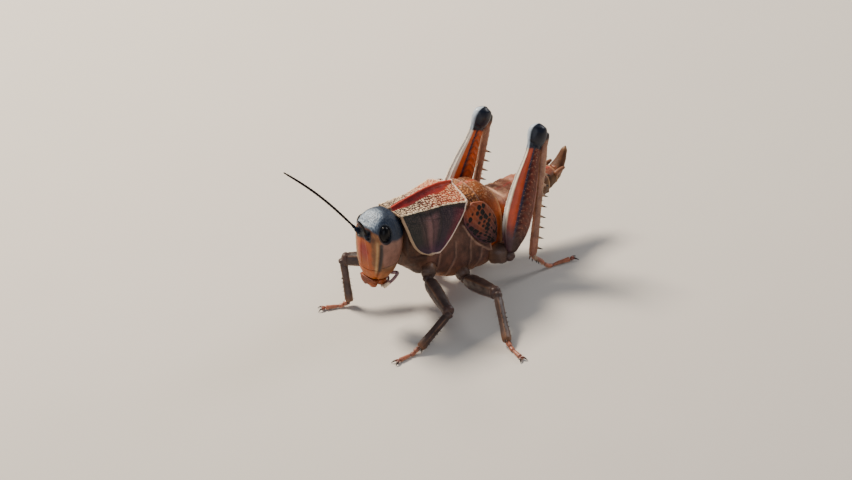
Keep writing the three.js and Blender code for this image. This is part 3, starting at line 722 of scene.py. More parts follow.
mouthCuticle = makeMaterial("mouthCuticle", paintMouth, **mouth["finish"])
palpCuticle = makeMaterial("palpCuticle", paintPalp, **mouth["palpFinish"])
mouthTop = mouth["level"] - mouth["gap"]
lip, lipMasks = lipGrid(mouthTop)
buildPiece("labrumFlap", [patch(onFloor(lip), lipMasks)], mouthCuticle, ["labrum"])
for side, label in sides:
    lower = label.lower()
    jaw, jawMasks = jawGrid(side, mouthTop)
    buildPiece("mandible" + label, [patch(onFloor(jaw), jawMasks)], mouthCuticle,
               ["mandible_" + lower])
    tubes = []
    for route, radii, joints in mouth["palps"]:
        route = np.array(route) * (side, 1, 1) + (0, 0, mouth["level"])
        grid, share, joint = jointedTube(route, radii, joints)
        tubes.append(patch(onFloor(grid), dict(tip=smoothStep(0.78, 0.86, share), joint=0.7 * joint)))
    buildPiece("palps" + label, tubes, palpCuticle, ["palp_" + lower])
print("mouthparts made")


# Feelers: a broad first joint, a short second one and a thread of small beads

feelers = dict(
    aims=dict(Left=(9.7, -9.9, 10.2), Right=(-9.4, -8.9, 10.65)), root=(0.85, -5.75, -3.2),
    length=16.5, radius=0.3, arches=dict(Left=0.4, Right=0.9), joints=24, threadStart=0.078,
    sizes=((0, 0.3), (0.012, 0.4), (0.045, 0.4), (0.052, 0.26), (0.078, 0.29), (0.086, 0.2),
           (0.2, 0.21), (0.6, 0.21), (0.9, 0.18), (1, 0.11)),
    rows=312, cols=14, finish=dict(roughness=0.75, specular=0.08, grainScale=6000.0, bumpDepth=0.02),
    colour="#171315", layers=(("joint", 1, "#33261f"), ("base", 1, "#182030")),
)


def paintFeeler(tree, place):
    return layered(tree, tint(feelers["colour"]), feelers["layers"])


def feelerGrid(setup, side, label):
    # a line along the aim, arched up by sin(pi share), its radius beaded from joint to joint
    aim = unit(setup["aims"][label])
    root = np.array(setup["root"]) * (side, 1, 1) + aim * setup["radius"]
    share = np.linspace(0, 1, setup["rows"])[:, None]
    arch = setup["arches"][label] * np.sin(share * math.pi) * (0, 0, 1)
    path = root + (share * (setup["length"] + 0.3) - 0.01) * aim + arch
    start = setup["threadStart"]
    place = np.clip((share - start) / (1 - start), 0, 1) * setup["joints"]
    beat = place - np.floor(place)
    swell = np.where(share > start, 0.9 + 0.16 * np.sin(beat ** 0.7 * math.pi), 1.0)
    size = valueThrough(setup["sizes"], share) * swell * roundEnd((1 - share) / 0.012)
    grid = tubeGrid(path, size[:, 0], (0, 0, 1), setup["cols"])
    pinch = np.where(share > start, 1 - smoothStep(0.0, 0.16, np.minimum(beat, 1 - beat)), 0)
    return grid, dict(joint=0.75 * pinch, base=smoothStep(0.09, 0.06, share))


feelerCuticle = makeMaterial("feelerCuticle", paintFeeler, **feelers["finish"])
for side, label in sides:
    feeler, feelerMasks = feelerGrid(feelers, side, label)
    buildPiece("feeler" + label, [patch(onFloor(feeler), feelerMasks)], feelerCuticle,
               ["antenna_" + label.lower()])
print("feelers made")


# Neck shield: a roofed disc with a crest, side carinae and two bordered lobes

shield = dict(
    length=13.8, crestRise=1.4, skin=0.3, rows=206, cols=232, middle=(0, 7, -6),
    edges=(  # place from crest to lobe edge, front y, rear y
        (0, 0.0, 13.8), (0.3, 0.0, 13.35), (0.42, 0.03, 13.0), (0.47, 0.15, 12.85), (0.62, 0.58, 12.2),
        (0.82, 1.6, 9.8), (0.93, 3.1, 8.4), (1.0, 5.2, 7.3),
    ),
    places=(0, 0.03, 0.08, 0.24, 0.42, 0.47, 0.62, 0.82, 1.0),
    sulci=(0.33, 0.5, 0.66), grainSize=0.46, tinyGrainSize=0.27, edgeGrainSize=0.42, lobeGrainSize=0.33,
    heights=dict(grain=0.15, carina=0.16, rim=0.17, lobeGrain=0.05, sulcus=-0.12, keel=0.05, puff=0.06,
                 waves=0.02),
    finish=dict(roughness=0.5, specular=0.35, grainScale=6000.0, toneSpan=0.28),
    ground=((0, "#3a2618"), (0.35, "#4e2014"), (0.6, "#7c2a12"), (0.8, "#a03a14"), (1, "#983c1a")),
    knobs=((0, "#dcc09a"), (0.45, "#e6caa6"), (0.75, "#e6a67a"), (1, "#e6ba90")),
    # the crest flank's crimson pair is darkened as painted shade
    crimson=("#820c0e", "#640a0c"), crimsonRear="#a62e14", keelColour="#b03420",
    lobe=((0.05, "#171d1a"), (0.3, "#25211f"), (0.42, "#4a3432"), (0.5, "#765150"), (0.6, "#5c3d3f"),
          (0.68, "#2c2026"), (0.86, "#301f2a"), (0.97, "#541a2a"), (1, "#64222f")),
    # the last lobe layer is a painted shadow under the carina
    lobeLayers=(("low", 0.75, "#42283f"), ("lobeGrain", 0.14, "#a98a80"), ("under", 0.8, "#14191a")),
    crease="#241719", carinaColour="#f2dcb8",
    border=((0, "#a08468"), (0.4, "#b89c84"), (0.7, "#dcc0ae"), (1, "#eacdb8")),
)


def shieldSection(y, place, setup):
    # a roofed section: x and z at each place from crest to lobe edge, all changing along y
    share = y / setup["length"]
    crest = setup["crestRise"] * np.sin(np.minimum(share * 1.15, 1) * math.pi / 2) - 0.75 * share ** 6
    carinaHalf = 2.8 + share + 1.7 * share ** 3
    carinaTop = -0.62 - 0.25 * share - 0.25 * share ** 4 - 0.16 * np.exp(-((share - 0.4) / 0.16) ** 2)
    lobeHalf = 4.2 + 1.5 * share
    middle = (crest - 0.6 + carinaTop) / 2
    xs = (0, 0.14, 0.45, carinaHalf * 0.55, carinaHalf, carinaHalf + 0.06,
          (carinaHalf + lobeHalf) / 2 + 0.1, lobeHalf, lobeHalf - 0.25)
    zs = (crest + 0.03, crest, crest - 0.45, middle, carinaTop, carinaTop - 0.5, -3.0, -6.2, -9.1)
    places = np.array(setup["places"])
    weights = np.moveaxis(through(np.column_stack([places, np.eye(len(places))]), place), -1, 0)
    return sum(w * x for w, x in zip(weights, xs)), sum(w * z for w, z in zip(weights, zs))


def shieldGrid(setup):
    # places run from the left lobe's edge over the crest to the right one's, shares front to rear
    signed = np.linspace(-1, 1, setup["cols"])
    signed = signed * (0.72 + 0.28 * np.abs(signed))  # more columns over the disc
    share = np.linspace(0, 1, setup["rows"])[:, None]
    place = np.abs(signed)[None]
    front, rear = np.moveaxis(through(setup["edges"], place), -1, 0)
    span = rear - front
    y = front + share * span
    x, z = shieldSection(y, place, setup)
    points = np.stack([x * -np.sign(signed), y, z], axis=-1)
    inside = np.stack([0 * x, y, 0 * x - 6], axis=-1)
    around = np.cumsum(np.hypot(np.gradient(points[..., 0], axis=1), np.gradient(z, axis=1)), axis=1)
    disc = smoothStep(0.44, 0.41, place)
    lobe = 1 - disc
    frontAway, rearAway = share * span, (1 - share) * span
    edgeAway = np.minimum(np.minimum(frontAway, rearAway) * 0.8, (1 - place) * 14.5)
    wide = 0.46 - 0.18 * smoothStep(0.35, 0.6, share)
    rim = np.maximum.reduce([
        smoothStep(wide, wide - 0.16, edgeAway) * lobe,
        smoothStep(0.3, 0.16, rearAway) * disc,
        0.7 * smoothStep(0.26, 0.12, frontAway) * disc,
    ])
    reach = 0.17 + 0.02 * np.sin(share * 9) - 0.06 * smoothStep(0.3, 0.0, share)
    reach = reach - 0.1 * smoothStep(0.7, 0.95, share)
    steep = smoothStep(reach + 0.02, reach - 0.02, place) * smoothStep(1.0, 0.93, share)
    keel = smoothStep(0.05, 0.02, place)
    small = grains(around, y, setup["grainSize"], 21) ** 0.7
    tiny = grains(around, y, setup["tinyGrainSize"], 24) ** 0.8
    grainy = disc * (1 - 0.95 * steep) * (1 - 0.7 * keel)
    grain = np.clip(np.maximum(small, 0.7 * tiny) * grainy, 0, 1)
    edgeGrain = grains(around * 0.35, y, setup["edgeGrainSize"], 27, 1.15)
    edgeGrain = edgeGrain * hump((place - 0.421) / 0.012, 1.0)
    carina = np.clip(0.55 * hump((place - 0.424) / 0.011, 1.0) + edgeGrain, 0, 1)
    sulcus = sum(hump((share - at - 0.03 * np.sin(9 * place)) * 13.8, 0.28) for at in setup["sulci"])
    sulcus = sulcus * smoothStep(0.08, 0.2, place) * smoothStep(0.97, 0.85, place)
    cross = hump((place - 0.585 - 0.02 * np.sin(share * 14)) / 0.013, 1.0) * hump((share - 0.5) / 0.17, 1.0)
    sulcus = np.maximum(sulcus * (0.3 + 0.7 * lobe), cross)
    lobeGrain = grains(around, y, setup["lobeGrainSize"], 29) * lobe * smoothStep(0.9, 0.5, place)
    reliefs = dict(grain=grain, carina=carina, rim=rim, lobeGrain=lobeGrain * (1 - rim), sulcus=sulcus,
                   keel=keel, puff=np.sin(share * math.pi * 3.0) * lobe, waves=ripple(points, 1.3, 31))
    masks = dict(grain=grain, carina=carina, rim=rim, lobe=lobe, along=share, crimson=steep * disc, keel=keel,
                 low=smoothStep(0.78, 0.98, place), sulcus=np.clip(sulcus, 0, 1), lobeGrain=lobeGrain,
                 # painted shadow along the lobe's top, under the carina
                 under=lobe * smoothStep(0.54, 0.47, place + 0.04 * np.sin(share * 11)))
    return raised(points, raisedBy(setup["heights"], reliefs), inside, wrap=False), masks


def paintShield(tree, place):
    # knobbed disc with the crest's steep flank crimson and darkened by painted shade, dark lobes below it
    # with a painted shadow under the carinae, then the pale carinae and border
    grain = mottling(tree, place, 1100.0)
    along = mask(tree, "along")
    disc = mixed(tree, spread(tree, mask(tree, "grain"), 0.42, 0.74),
                 ramp(tree, along, shield["ground"]), ramp(tree, along, shield["knobs"]))
    # the crest's steep flank: its own crimson, darkened as painted shade
    crimson = mottled(tree, grain, shield["crimson"], 0.4, 0.6)
    crimson = mixed(tree, spread(tree, along, 0.5, 0.95), crimson, tint(shield["crimsonRear"]))
    disc = mixed(tree, mask(tree, "crimson"), disc, crimson)
    disc = layered(tree, disc, (("keel", 1, shield["keelColour"]),))
    slant = calc(tree, "ADD", along, calc(tree, "MULTIPLY", grain, 0.12))
    lobe = layered(tree, ramp(tree, slant, shield["lobe"]), shield["lobeLayers"])
    colour = mixed(tree, mask(tree, "lobe"), disc, lobe)
    colour = layered(tree, colour, (("sulcus", 0.45, shield["crease"]),))
    carina = spread(tree, mask(tree, "carina"), 0.25, 0.6)
    colour = mixed(tree, carina, colour, tint(shield["carinaColour"]))
    return mixed(tree, spread(tree, mask(tree, "rim"), 0.3, 0.8), colour, ramp(tree, along, shield["border"]))


def openPatch(points, masks, inside):
    # an open shell with its faces turned away from the inside point
    one = patch(points, masks, wrap=False, poles=(False, False))
    a, b, c = (one["corners"][one["quads"][:, k]] for k in range(3))
    if np.sum(np.cross(b - a, c - a) * (a - inside)) < 0:
        one["quads"] = one["quads"][:, ::-1]
    one["open"] = True
    return one


shieldPoints, shieldMasks = shieldGrid(shield)
shieldCuticle = makeMaterial("shieldCuticle", paintShield, **shield["finish"])
buildPiece("neckShield", [openPatch(onFloor(shieldPoints), shieldMasks, onFloor(shield["middle"]))],
           shieldCuticle, ["pronotum"], skin=shield["skin"])
print("neck shield made")


# Trunk: one skin for the three rings of the thorax, with their plates and sutures

trunk = dict(
    back=((1.5, -3.5), (6, -1.8), (12, -1.2), (15, -0.75), (17.2, -0.6), (19.2, -1.3), (21, -2.8),
          (23.4, -4.25), (26, -4.3), (29, -4.0), (33, -4.0), (36, -4.2)),
    belly=((1.5, -11.2), (4, -13.0), (7, -14.7), (10, -16.0), (14, -16.7), (17.6, -16.3), (21, -14.9),
           (25, -13.2), (29, -11.0), (33, -8.6), (36, -7.2)),
    flank=((1.5, 3.4), (4, 4.2), (7, 4.8), (10, 5.1), (14, 5.5), (18, 5.6), (21, 5.3), (25, 4.85),
           (29, 3.95), (33, 2.75), (36, 1.95)),
    front=1.6,
    rearEdge=((-17, 16.5), (-15.8, 17.3), (-14.6, 18.1), (-11.4, 18.2), (-9, 17.5), (-5, 16.7), (-1, 16.3)),
    shieldCover=((-9.2, 6.6), (-8.0, 8.4), (-6.2, 9.8), (-3.0, 12.2), (-1.2, 12.85), (0, 13.2)),
    sutures=(  # y and z on the flank
        ((13.4, -7.2), (13.3, -10), (13.5, -12.5), (13.2, -15.6)),
        ((10.2, -8.0), (10.3, -11.0), (9.6, -13.2), (9.5, -15.2)),
        ((15.8, -10.6), (15.6, -12.6), (15.0, -14.6)),
        ((7.0, -9.4), (6.9, -12.0), (6.3, -14.2)),
        ((9.5, -15.2), (11.4, -15.5), (13.2, -15.6), (15.6, -15.9)),
    ),
    wingRidge=((12.3, -5.6), (13.4, -7.7), (14.8, -9.5), (16.3, -10.7), (17.6, -11.6), (18.6, -12.0)),
    coxaBulges=((4.6, -12.6, 1.4), (11.6, -14.3, 1.7), (17.4, -13.4, 2.0)),  # y, z and size
    heights=dict(lips=0.08, seams=-0.13, ridge=0.3, bulge=0.28, edge=0.18, median=0.14, knobs=0.09,
                 waves=0.035, wrinkles=0.018),
    rows=240, cols=300,
    finish=dict(roughness=0.52, coat=0.03, specular=0.3, grainScale=4500.0, bumpDepth=0.04),
    flankColours=("#704a3c", "#442c25"), tan="#7c5a42", mauve="#4a3040", belowLayer=("low", 1, "#8a5a38"),
    neck=("#5e3c28", "#3a241a"), backColours=("#6e3c18", "#b0703a"),
    topLayers=(("median", 1, "#b8483a"), ("lip", 0.8, "#ac8672"), ("seam", 0.55, "#3a2827")),
)


def bodySection(y, angle, power=2.5):
    # superellipse between the back line and the belly line, as wide as the flanks
    top, low, half = (valueThrough(trunk[key], y) for key in ("back", "belly", "flank"))
    waist = (low + top) / 2
    x, z = oval(angle, half, top - waist, waist - low, power)
    return x, z + waist, waist


def trunkGrid(setup):
    # body sections from the neck to a slanting rear edge, drawn in a little under the shield
    angle = ringAngles(setup["cols"])[None]
    share = np.linspace(0, 1, setup["rows"])[:, None]
    length = valueThrough(setup["rearEdge"], -8.8 + 7.7 * np.sin(angle)) - setup["front"]
    y = setup["front"] + share * length
    x, z, _ = bodySection(y, angle)
    covered = smoothStep(0.1, 0.7, valueThrough(setup["shieldCover"], z) - y) * smoothStep(-9.3, -8.8, z)
    points = np.stack([x * (1 - 0.09 * covered), y, z - 0.25 * covered * smoothStep(-4, -2, z)], axis=-1)
    normals = gridNormals(points, points.mean(axis=1, keepdims=True))
    sideways = np.abs(normals[..., 0])
    flank = smoothStep(0.25, 0.6, sideways)
    dorsal = smoothStep(-4.0, -2.6, z)
    bulges = sum(hump(np.hypot(y - cy, z - cz), size) * size for cy, cz, size in setup["coxaBulges"])
    reliefs = dict(
        lips=sum(hump(lineDistance(y - 0.3, z, line), 0.22) for line in setup["sutures"]) * flank,
        seams=sum(hump(lineDistance(y, z, line), 0.11) for line in setup["sutures"]) * flank,
        ridge=hump(lineDistance(y, z, setup["wingRidge"]), 0.22) * flank,
        bulge=bulges * smoothStep(0.0, 0.3, sideways),
        edge=smoothStep(0.35, 0.12, (1 - share) * length),
        median=hump(points[..., 0], 0.2) * (z > -8) * dorsal,
        knobs=grains(points[..., 0], y, 0.42, 41) * dorsal,
        waves=ripple(points, 1.5, 43),
        wrinkles=ripple(points, 0.5, 44),
    )
    lip = 0.4 * reliefs["lips"] + reliefs["ridge"] + 0.7 * reliefs["edge"]
    masks = dict(seam=np.clip(reliefs["seams"], 0, 1), lip=np.clip(lip, 0, 1),
                 low=smoothStep(-12.4, -15.6, z + 0.5 * ripple(points, 3.0, 45)), dorsal=dorsal,
                 knob=reliefs["knobs"], median=reliefs["median"], neck=smoothStep(6.2, 4.0, y))
    return points + normals * raisedBy(setup["heights"], reliefs)[..., None], masks


def paintFlank(tree, place):
    # brown with tan and mauve patches, paler below, and a brick line along the back
    grain = mottling(tree, place, 800.0)
    patchy = mottling(tree, place, 260.0)
    colour = mottled(tree, grain, trunk["flankColours"])
    colour = mixed(tree, spread(tree, patchy, 0.5, 0.68, 0.0, 0.6), colour, tint(trunk["tan"]))
    colour = mixed(tree, spread(tree, patchy, 0.48, 0.32, 0.0, 0.5), colour, tint(trunk["mauve"]))
    colour = layered(tree, colour, (trunk["belowLayer"],))
    colour = mixed(tree, mask(tree, "neck", 0.85), colour, mottled(tree, grain, trunk["neck"], 0.4, 0.6))
    back = mottled(tree, mask(tree, "knob"), trunk["backColours"], 0.15, 0.6)
    colour = mixed(tree, mask(tree, "dorsal"), colour, back)
    return layered(tree, colour, trunk["topLayers"])


trunkPoints, trunkMasks = trunkGrid(trunk)
flankCuticle = makeMaterial("flankCuticle", paintFlank, **trunk["finish"])
buildPiece("trunkPlates", [patch(onFloor(trunkPoints), trunkMasks)], flankCuticle,
           ["prothorax", "mesothorax", "metathorax"])
print("trunk made")


# Abdomen: rings that each slip under the one in front, split from the belly plates by a soft fold

abdomen = dict(
    rings=(15.6, 20.6, 22.8, 25.0, 27.2, 29.4, 31.6, 33.8, 36.0), ringRows=24, cols=220, start=0.25, lip=0.28,
    ear=(18.6, -6.2, 0.6), foldLift=-0.55,
    heights=dict(median=0.11, knobs=0.07, fold=-0.3, spiracle=-0.09, furrow=-0.05, ear=-0.35, waves=0.03,
                 wrinkles=0.015),
    finish=dict(roughness=0.52, coat=0.03, specular=0.28, grainScale=4800.0, bumpDepth=0.035),
    # the pale back is partly the rings' own pinkish cream and partly painted light on the top
    back=("#f0c4a4", "#c48c6c"), frontBack=("#7e4012", "#562408"), rearBack=("#5e4028", "#3c2614"),
    knob="#c99a70", blotch="#80402e", frontBlotch="#4a2a18", flank=("#a04610", "#722d08"),
    rearFlank=("#684424", "#442812"), below=("#5c3e22", "#3c2814"),
    topLayers=(("median", 0.85, "#b8453c"), ("edge", 0.45, "#cfa274"), ("dark", 0.75, "#4a2818")),
)


def abdomenGrid(setup):
    # each ring flares from 0.925 to about 1 of the body section and ends in a lip over the next ring
    angle = ringAngles(setup["cols"])[None]
    parts = []
    for k, (start, end) in enumerate(zip(setup["rings"][:-1], setup["rings"][1:])):
        share = np.linspace(0, 1, setup["ringRows"] * (2 if k == 0 else 1))
        ends = np.ones_like(share)
        parts.append((share, ends * k, ends * (start - setup["start"]), ends * (end + setup["lip"])))
    share, beat, start, end = (np.concatenate(part)[:, None] for part in zip(*parts))
    y = start + share * (end - start)
    x, z, waist = bodySection(y, angle)
    first = beat == 0
    swell = 0.925 + 0.085 * smoothStep(0, 0.75, share) + 0.012 * smoothStep(0.86, 0.97, share)
    swell = swell - 0.02 * smoothStep(0.985, 1.0, share) + 0.012 * first
    points = np.stack([x * swell, y + 0 * x, waist + (z - waist) * swell], axis=-1)
    normals = gridNormals(points, points.mean(axis=1, keepdims=True))
    lift = np.sin(angle)
    below = smoothStep(-0.55, -0.68, lift)
    earY, earZ, earSize = setup["ear"]
    reliefs = dict(
        median=hump(points[..., 0], 0.22) * (lift > 0),
        knobs=grains((angle - math.pi / 2) * 4.6, y, 0.4, 51) * smoothStep(0.2, 0.8, lift),
        fold=hump(lift - setup["foldLift"], 0.09),
        spiracle=hump(np.hypot((share - 0.35) * (end - start), (lift + 0.38) * 5), 0.22),
        furrow=hump(share - 0.3, 0.05) * (1 - below),
        ear=hump(np.hypot(y - earY, (z - earZ) * 0.75), earSize) * first,
        waves=ripple(points, 1.1, 53),
        wrinkles=ripple(points * (1, 3, 1), 0.8, 54),
    )
    dark = 0.5 * reliefs["fold"] + reliefs["spiracle"] + reliefs["ear"] + smoothStep(0.16, 0.05, share)
    masks = dict(side=smoothStep(0.9, 0.5, lift) * (1 - below), below=below, median=reliefs["median"],
                 knob=reliefs["knobs"], edge=smoothStep(0.84, 0.97, share), dark=np.clip(dark, 0, 1),
                 rear=smoothStep(24, 34, y), front=smoothStep(22.6, 20.8, y))
    return points + normals * raisedBy(setup["heights"], reliefs)[..., None], masks


def paintRings(tree, place):
    # back, flank and belly colours, the first two darker towards the tail; the pale back is partly the rings'
    # own colour and partly painted light on the top
    grain = mottling(tree, place, 900.0)
    patchy = mottling(tree, place, 330.0)
    rear, front = mask(tree, "rear"), mask(tree, "front")
    back, frontBack, rearBack, flank, rearFlank, below = (mottled(tree, grain, abdomen[key]) for key in (
        "back", "frontBack", "rearBack", "flank", "rearFlank", "below"))
    back = mixed(tree, front, back, frontBack)
    back = mixed(tree, spread(tree, rear, 0.3, 0.9), back, rearBack)
    knob = spread(tree, mask(tree, "knob"), 0.3, 0.75, 0.0, 0.5)
    back = mixed(tree, knob, back, tint(abdomen["knob"]))
    blotch = mixed(tree, front, tint(abdomen["blotch"]), tint(abdomen["frontBlotch"]))
    back = mixed(tree, spread(tree, patchy, 0.44, 0.54, 0.0, 0.75), back, blotch)
    flank = mixed(tree, rear, flank, rearFlank)
    colour = mixed(tree, mask(tree, "side"), back, flank)
    colour = mixed(tree, mask(tree, "below"), colour, below)
    return layered(tree, colour, abdomen["topLayers"])


abdomenPoints, abdomenMasks = abdomenGrid(abdomen)
ringCuticle = makeMaterial("ringCuticle", paintRings, **abdomen["finish"])
buildPiece("abdomenRings", [patch(onFloor(abdomenPoints), abdomenMasks)], ringCuticle,
           [f"abdomen_{k}" for k in range(1, 9)])

tailEnd = dict(
    plate=((0, 0, 35.4, -6.2), (0.35, 0, 37.1, -5.5), (0.7, 0, 38.6, -3.6), (1, 0, 39.75, -1.25)),
    plateSizes=((0, 1.75, 1.3), (0.4, 1.5, 1.05), (0.75, 0.95, 0.7), (0.93, 0.55, 0.42), (1, 0.1, 0.1)),
    roofEnds=((0, 35.9, -4.85), (0, 37.9, -4.45)),
    roof=((0, 1.5, 0.5, 0.5), (0.5, 1.1, 0.45, 0.45), (0.9, 0.6, 0.35, 0.35), (1, 0.3, 0.3, 0.3)),
    cercusEnds=((1.7, 35.8, -4.95), (1.75, 38.1, -4.1)),
    cercus=((0, 0.5, 0.5, 0.5), (0.5, 0.42, 0.42, 0.42), (1, 0.25, 0.25, 0.25)), rows=90,
)


def platePatch(setup):
    # an upturned scoop: ellipse-like sections along a rising path
    share = endsDense(setup["rows"])[:, None]
    path = through(setup["plate"], share[:, 0])
    _, _, up = pathFrames(path, np.array((0, 0, 1.0)))
    half, depth = np.moveaxis(through(setup["plateSizes"], share), -1, 0)
    x, z = oval(ringAngles(setup["rows"])[None], half, depth, depth, 2.2)
    plate = path[:, None] + x[..., None] * (1, 0, 0) + z[..., None] * up[:, None]
    plate = raised(plate, -0.08 * hump(share - 0.42, 0.04) + 0.03 * ripple(plate, 0.9, 61))
    spots = grains(plate[..., 0], plate[..., 2], 0.4, 62)
    masks = dict(rear=1.0, below=0.5, side=0.6, dark=0.6 * hump(share - 0.43, 0.03) + 0.25 * spots,
                 edge=0.6 * (hump(share - 0.38, 0.05) + smoothStep(0.88, 0.97, share)))
    return patch(onFloor(plate), masks)


def roofPatch(setup):
    # a flat superellipse limb that narrows to the tail, with two low keels and a seam across
    roof, share, _ = limbGrid(*setup["roofEnds"], (0, 0, 1), setup["roof"], cols=60, blunt=0.1)
    roof = raised(roof, 0.09 * hump(np.abs(roof[..., 0]) - 0.45, 0.15) - 0.1 * hump(share - 0.5, 0.05))
    return patch(onFloor(roof), dict(side=0.8, rear=0.6, edge=smoothStep(0.85, 1, share)))


def cercusPatch(setup, side):
    # a round limb that tapers to the tail, bowed by sin(pi share)
    ends = np.array(setup["cercusEnds"]) * (side, 1, 1)
    cone, share, _ = limbGrid(*ends, (0, 0, 1), setup["cercus"], rows=40, cols=24, power=2.0,
                              blunt=0.12, bend=0.12)
    return patch(onFloor(cone), dict(rear=1.0, side=0.2, edge=0.3, dark=smoothStep(0.8, 1, share)))


tailPieces = [("subgenitalPlate", platePatch(tailEnd), "subgenital_plate"),
              ("supraAnalPlate", roofPatch(tailEnd), "supra_anal_plate")]
tailPieces += [("cercus" + label, cercusPatch(tailEnd, side), "cercus_" + label.lower())
               for side, label in sides]
for name, shape, node in tailPieces:
    buildPiece(name, [shape], ringCuticle, [node])
print("abdomen made")


# Short wing pads with raised veins and dark spots between them

wingPad = dict(
    root=(5.5, 12.9, -2.0), tip=(6.0, 18.5, -9.9), length=10.2, width=6.0, thickness=0.5, bulge=0.55,
    leaf=(  # share along, rear half width and front half width
        (0, 0.7, 0.7), (0.06, 1.6, 1.6), (0.2, 2.75, 2.6), (0.45, 2.95, 2.8), (0.65, 2.6, 2.5),
        (0.8, 1.9, 1.95), (0.92, 0.95, 1.2), (0.98, 0.35, 0.5), (1, 0.06, 0.08)),
    veins=11, crossVeins=12.0, veinHeight=0.07, spotHeight=-0.05, spotSpacing=1.15, spotSizes=(0.2, 0.5),
    bareChance=0.3, rows=190, cols=170,
    finish=dict(roughness=0.55, specular=0.25, toneSpan=0.25),
    leather=((0.08, "#6e2f16"), (0.24, "#94421a"), (0.42, "#683020"), (0.58, "#76381e"), (0.75, "#4e2b2a"),
             (1.0, "#3a242b")),
    layers=(("vein", 0.32, "#98604c"), ("rim", 0.3, "#a87460"), ("lowEdge", 0.9, "#3a2030"),
            ("spot", 1, "#08070a")),
)


def wingMarks(setup, share, fan):
    # veins fan out from the root with cross veins between, and a spot fills most of the cells
    fanPlace = fan * (0.42 + 0.58 * share) + 0.12 * np.sin(share * 5)
    veinPlace = (fanPlace * 0.5 + 0.5) * setup["veins"]
    nearest, cell = np.round(veinPlace), np.floor(veinPlace)
    vein = hump(np.abs(veinPlace - nearest), 0.17)
    cross = hump(np.sin((share * setup["crossVeins"] + nearest * 0.37) * math.pi), 0.3) * 0.5
    net = np.clip(vein + cross * (share > 0.1), 0, 1)
    beat = share * setup["length"] / setup["spotSpacing"] + scatter(cell, 3, 71)
    filled = scatter(cell, np.floor(beat), 72) > setup["bareChance"]
    small, large = setup["spotSizes"]
    size = small + (large - small) * scatter(cell, np.floor(beat), 73)
    ahead = (beat - np.floor(beat) - 0.5) * setup["spotSpacing"] / 1.25
    away = np.hypot(ahead, (veinPlace - cell - 0.5) * 0.62)
    inside = smoothStep(0.08, 0.16, share) * smoothStep(0.99, 0.93, share)
    inside = inside * smoothStep(0.96, 0.86, np.abs(fan))
    return net, smoothStep(size + 0.05, size - 0.07, away) * filled * inside


def wingGrid(setup, side):
    # shares along and turns round a domed oval leaf, thin at its edges
    root, tip = (np.array(setup[key]) * (side, 1, 1) for key in ("root", "tip"))
    outward = unit((side, 0, 0.12))
    along = unit(tip - root)
    across = unit(np.cross(along, outward))
    across = across * np.sign(across[1])  # towards the rear on both sides
    share = 0.02 + 0.98 * endsDense(setup["rows"], 1.4)[:, None]
    t = np.linspace(0, 2 * math.pi, setup["cols"], endpoint=False)[None]
    rearHalf, frontHalf = np.moveaxis(through(setup["leaf"], share), -1, 0)
    leaf = np.where(np.cos(t) > 0, rearHalf, frontHalf)
    sideways, thick = oval(t, leaf, 1.0, 1.0, 2.6)
    fan = sideways / np.maximum(leaf, 0.3)
    net, spot = wingMarks(setup, share, fan)
    rim = smoothStep(0.86, 0.97, np.abs(fan))
    sheet = setup["thickness"] / 2 * np.clip(leaf / 0.8, 0.1, 1) * thick * (1 + 0.3 * rim)
    arch = setup["bulge"] * np.sin(share * math.pi) - 0.25 * fan ** 2
    relief = smoothStep(-0.2, 0.2, thick) * (setup["veinHeight"] * net + setup["spotHeight"] * spot)
    points = (root + (share * setup["length"])[..., None] * along + sideways[..., None] * across
              + (arch + sheet + relief)[..., None] * outward)
    rearward = sideways / (setup["width"] / 2)
    return points, dict(spot=spot, vein=net, along=share, rim=rim, lowEdge=smoothStep(-0.25, -0.9, rearward))


def paintWing(tree, place):
    # leather brown along the pad, then its veins, rim, low edge and spots
    grain = mottling(tree, place, 900.0)
    along = calc(tree, "ADD", mask(tree, "along"), calc(tree, "MULTIPLY", grain, 0.2))
    return layered(tree, ramp(tree, along, wingPad["leather"]), wingPad["layers"])


wingLeather = makeMaterial("wingLeather", paintWing, **wingPad["finish"])
for side, label in sides:
    wingPoints, wingMasks = wingGrid(wingPad, side)
    buildPiece("wingPad" + label, [patch(onFloor(wingPoints), wingMasks)], wingLeather,
               ["tegmen_" + label.lower()])
print("wing pads made")


# Legs: each stands on its own angles, seen from above from straight out towards the head

legs = dict(
    hips=dict(
        front=((3.3, 6.2, -11.6), (4.8, 4.4, -13.2)), mid=((3.6, 12.8, -14.4), (5.6, 12.2, -15.7)),
        hind=((4.4, 18.6, -13.2), (7.5, 20.6, -13.2)),
    ),
    sizes=dict(  # femur, tibia and tarsus lengths, thickness, shin's half width, pivot's drop
        front=(8.0, 7.8, 4.6, 1.28, 0.68, 0), mid=(9.3, 9.4, 5.0, 1.28, 0.7, 0),
        hind=(21.8, 22.3, 7.4, 1.6, 0.62, 1.45),
    ),
    stances=(  # pair, side, swing, lift, shank, foot, ankle height, hip carried by, upper edge's lean
        ("front", "Left", 14, -20, 95, 95, 0.95, (0, 0, 0), 0),
        ("front", "Right", 50, 5, 150, 55, 0.95, (0, 0, 0), 0),
        ("mid", "Left", 4, 9, 32, 12, 0.95, (0, 0, 0), 0),
        ("mid", "Right", -30, 12, -42, -35, 0.95, (0, 0, 0), 0),
        ("hind", "Left", -99.5, 61, 76, -72, 3.3, (0, 0, 0), 0.26),
        ("hind", "Right", -113, 65, 49.5, -70, 3.9, (0.7, -1.8, 0.2), 0.07),
    ),
    startGap=0.35,
)


def heading(side, degrees):
    # a level direction: cos of the angle outwards and -sin of it along y
    angle = math.radians(degrees)
    return np.array((side * math.cos(angle), -math.sin(angle), 0.0))


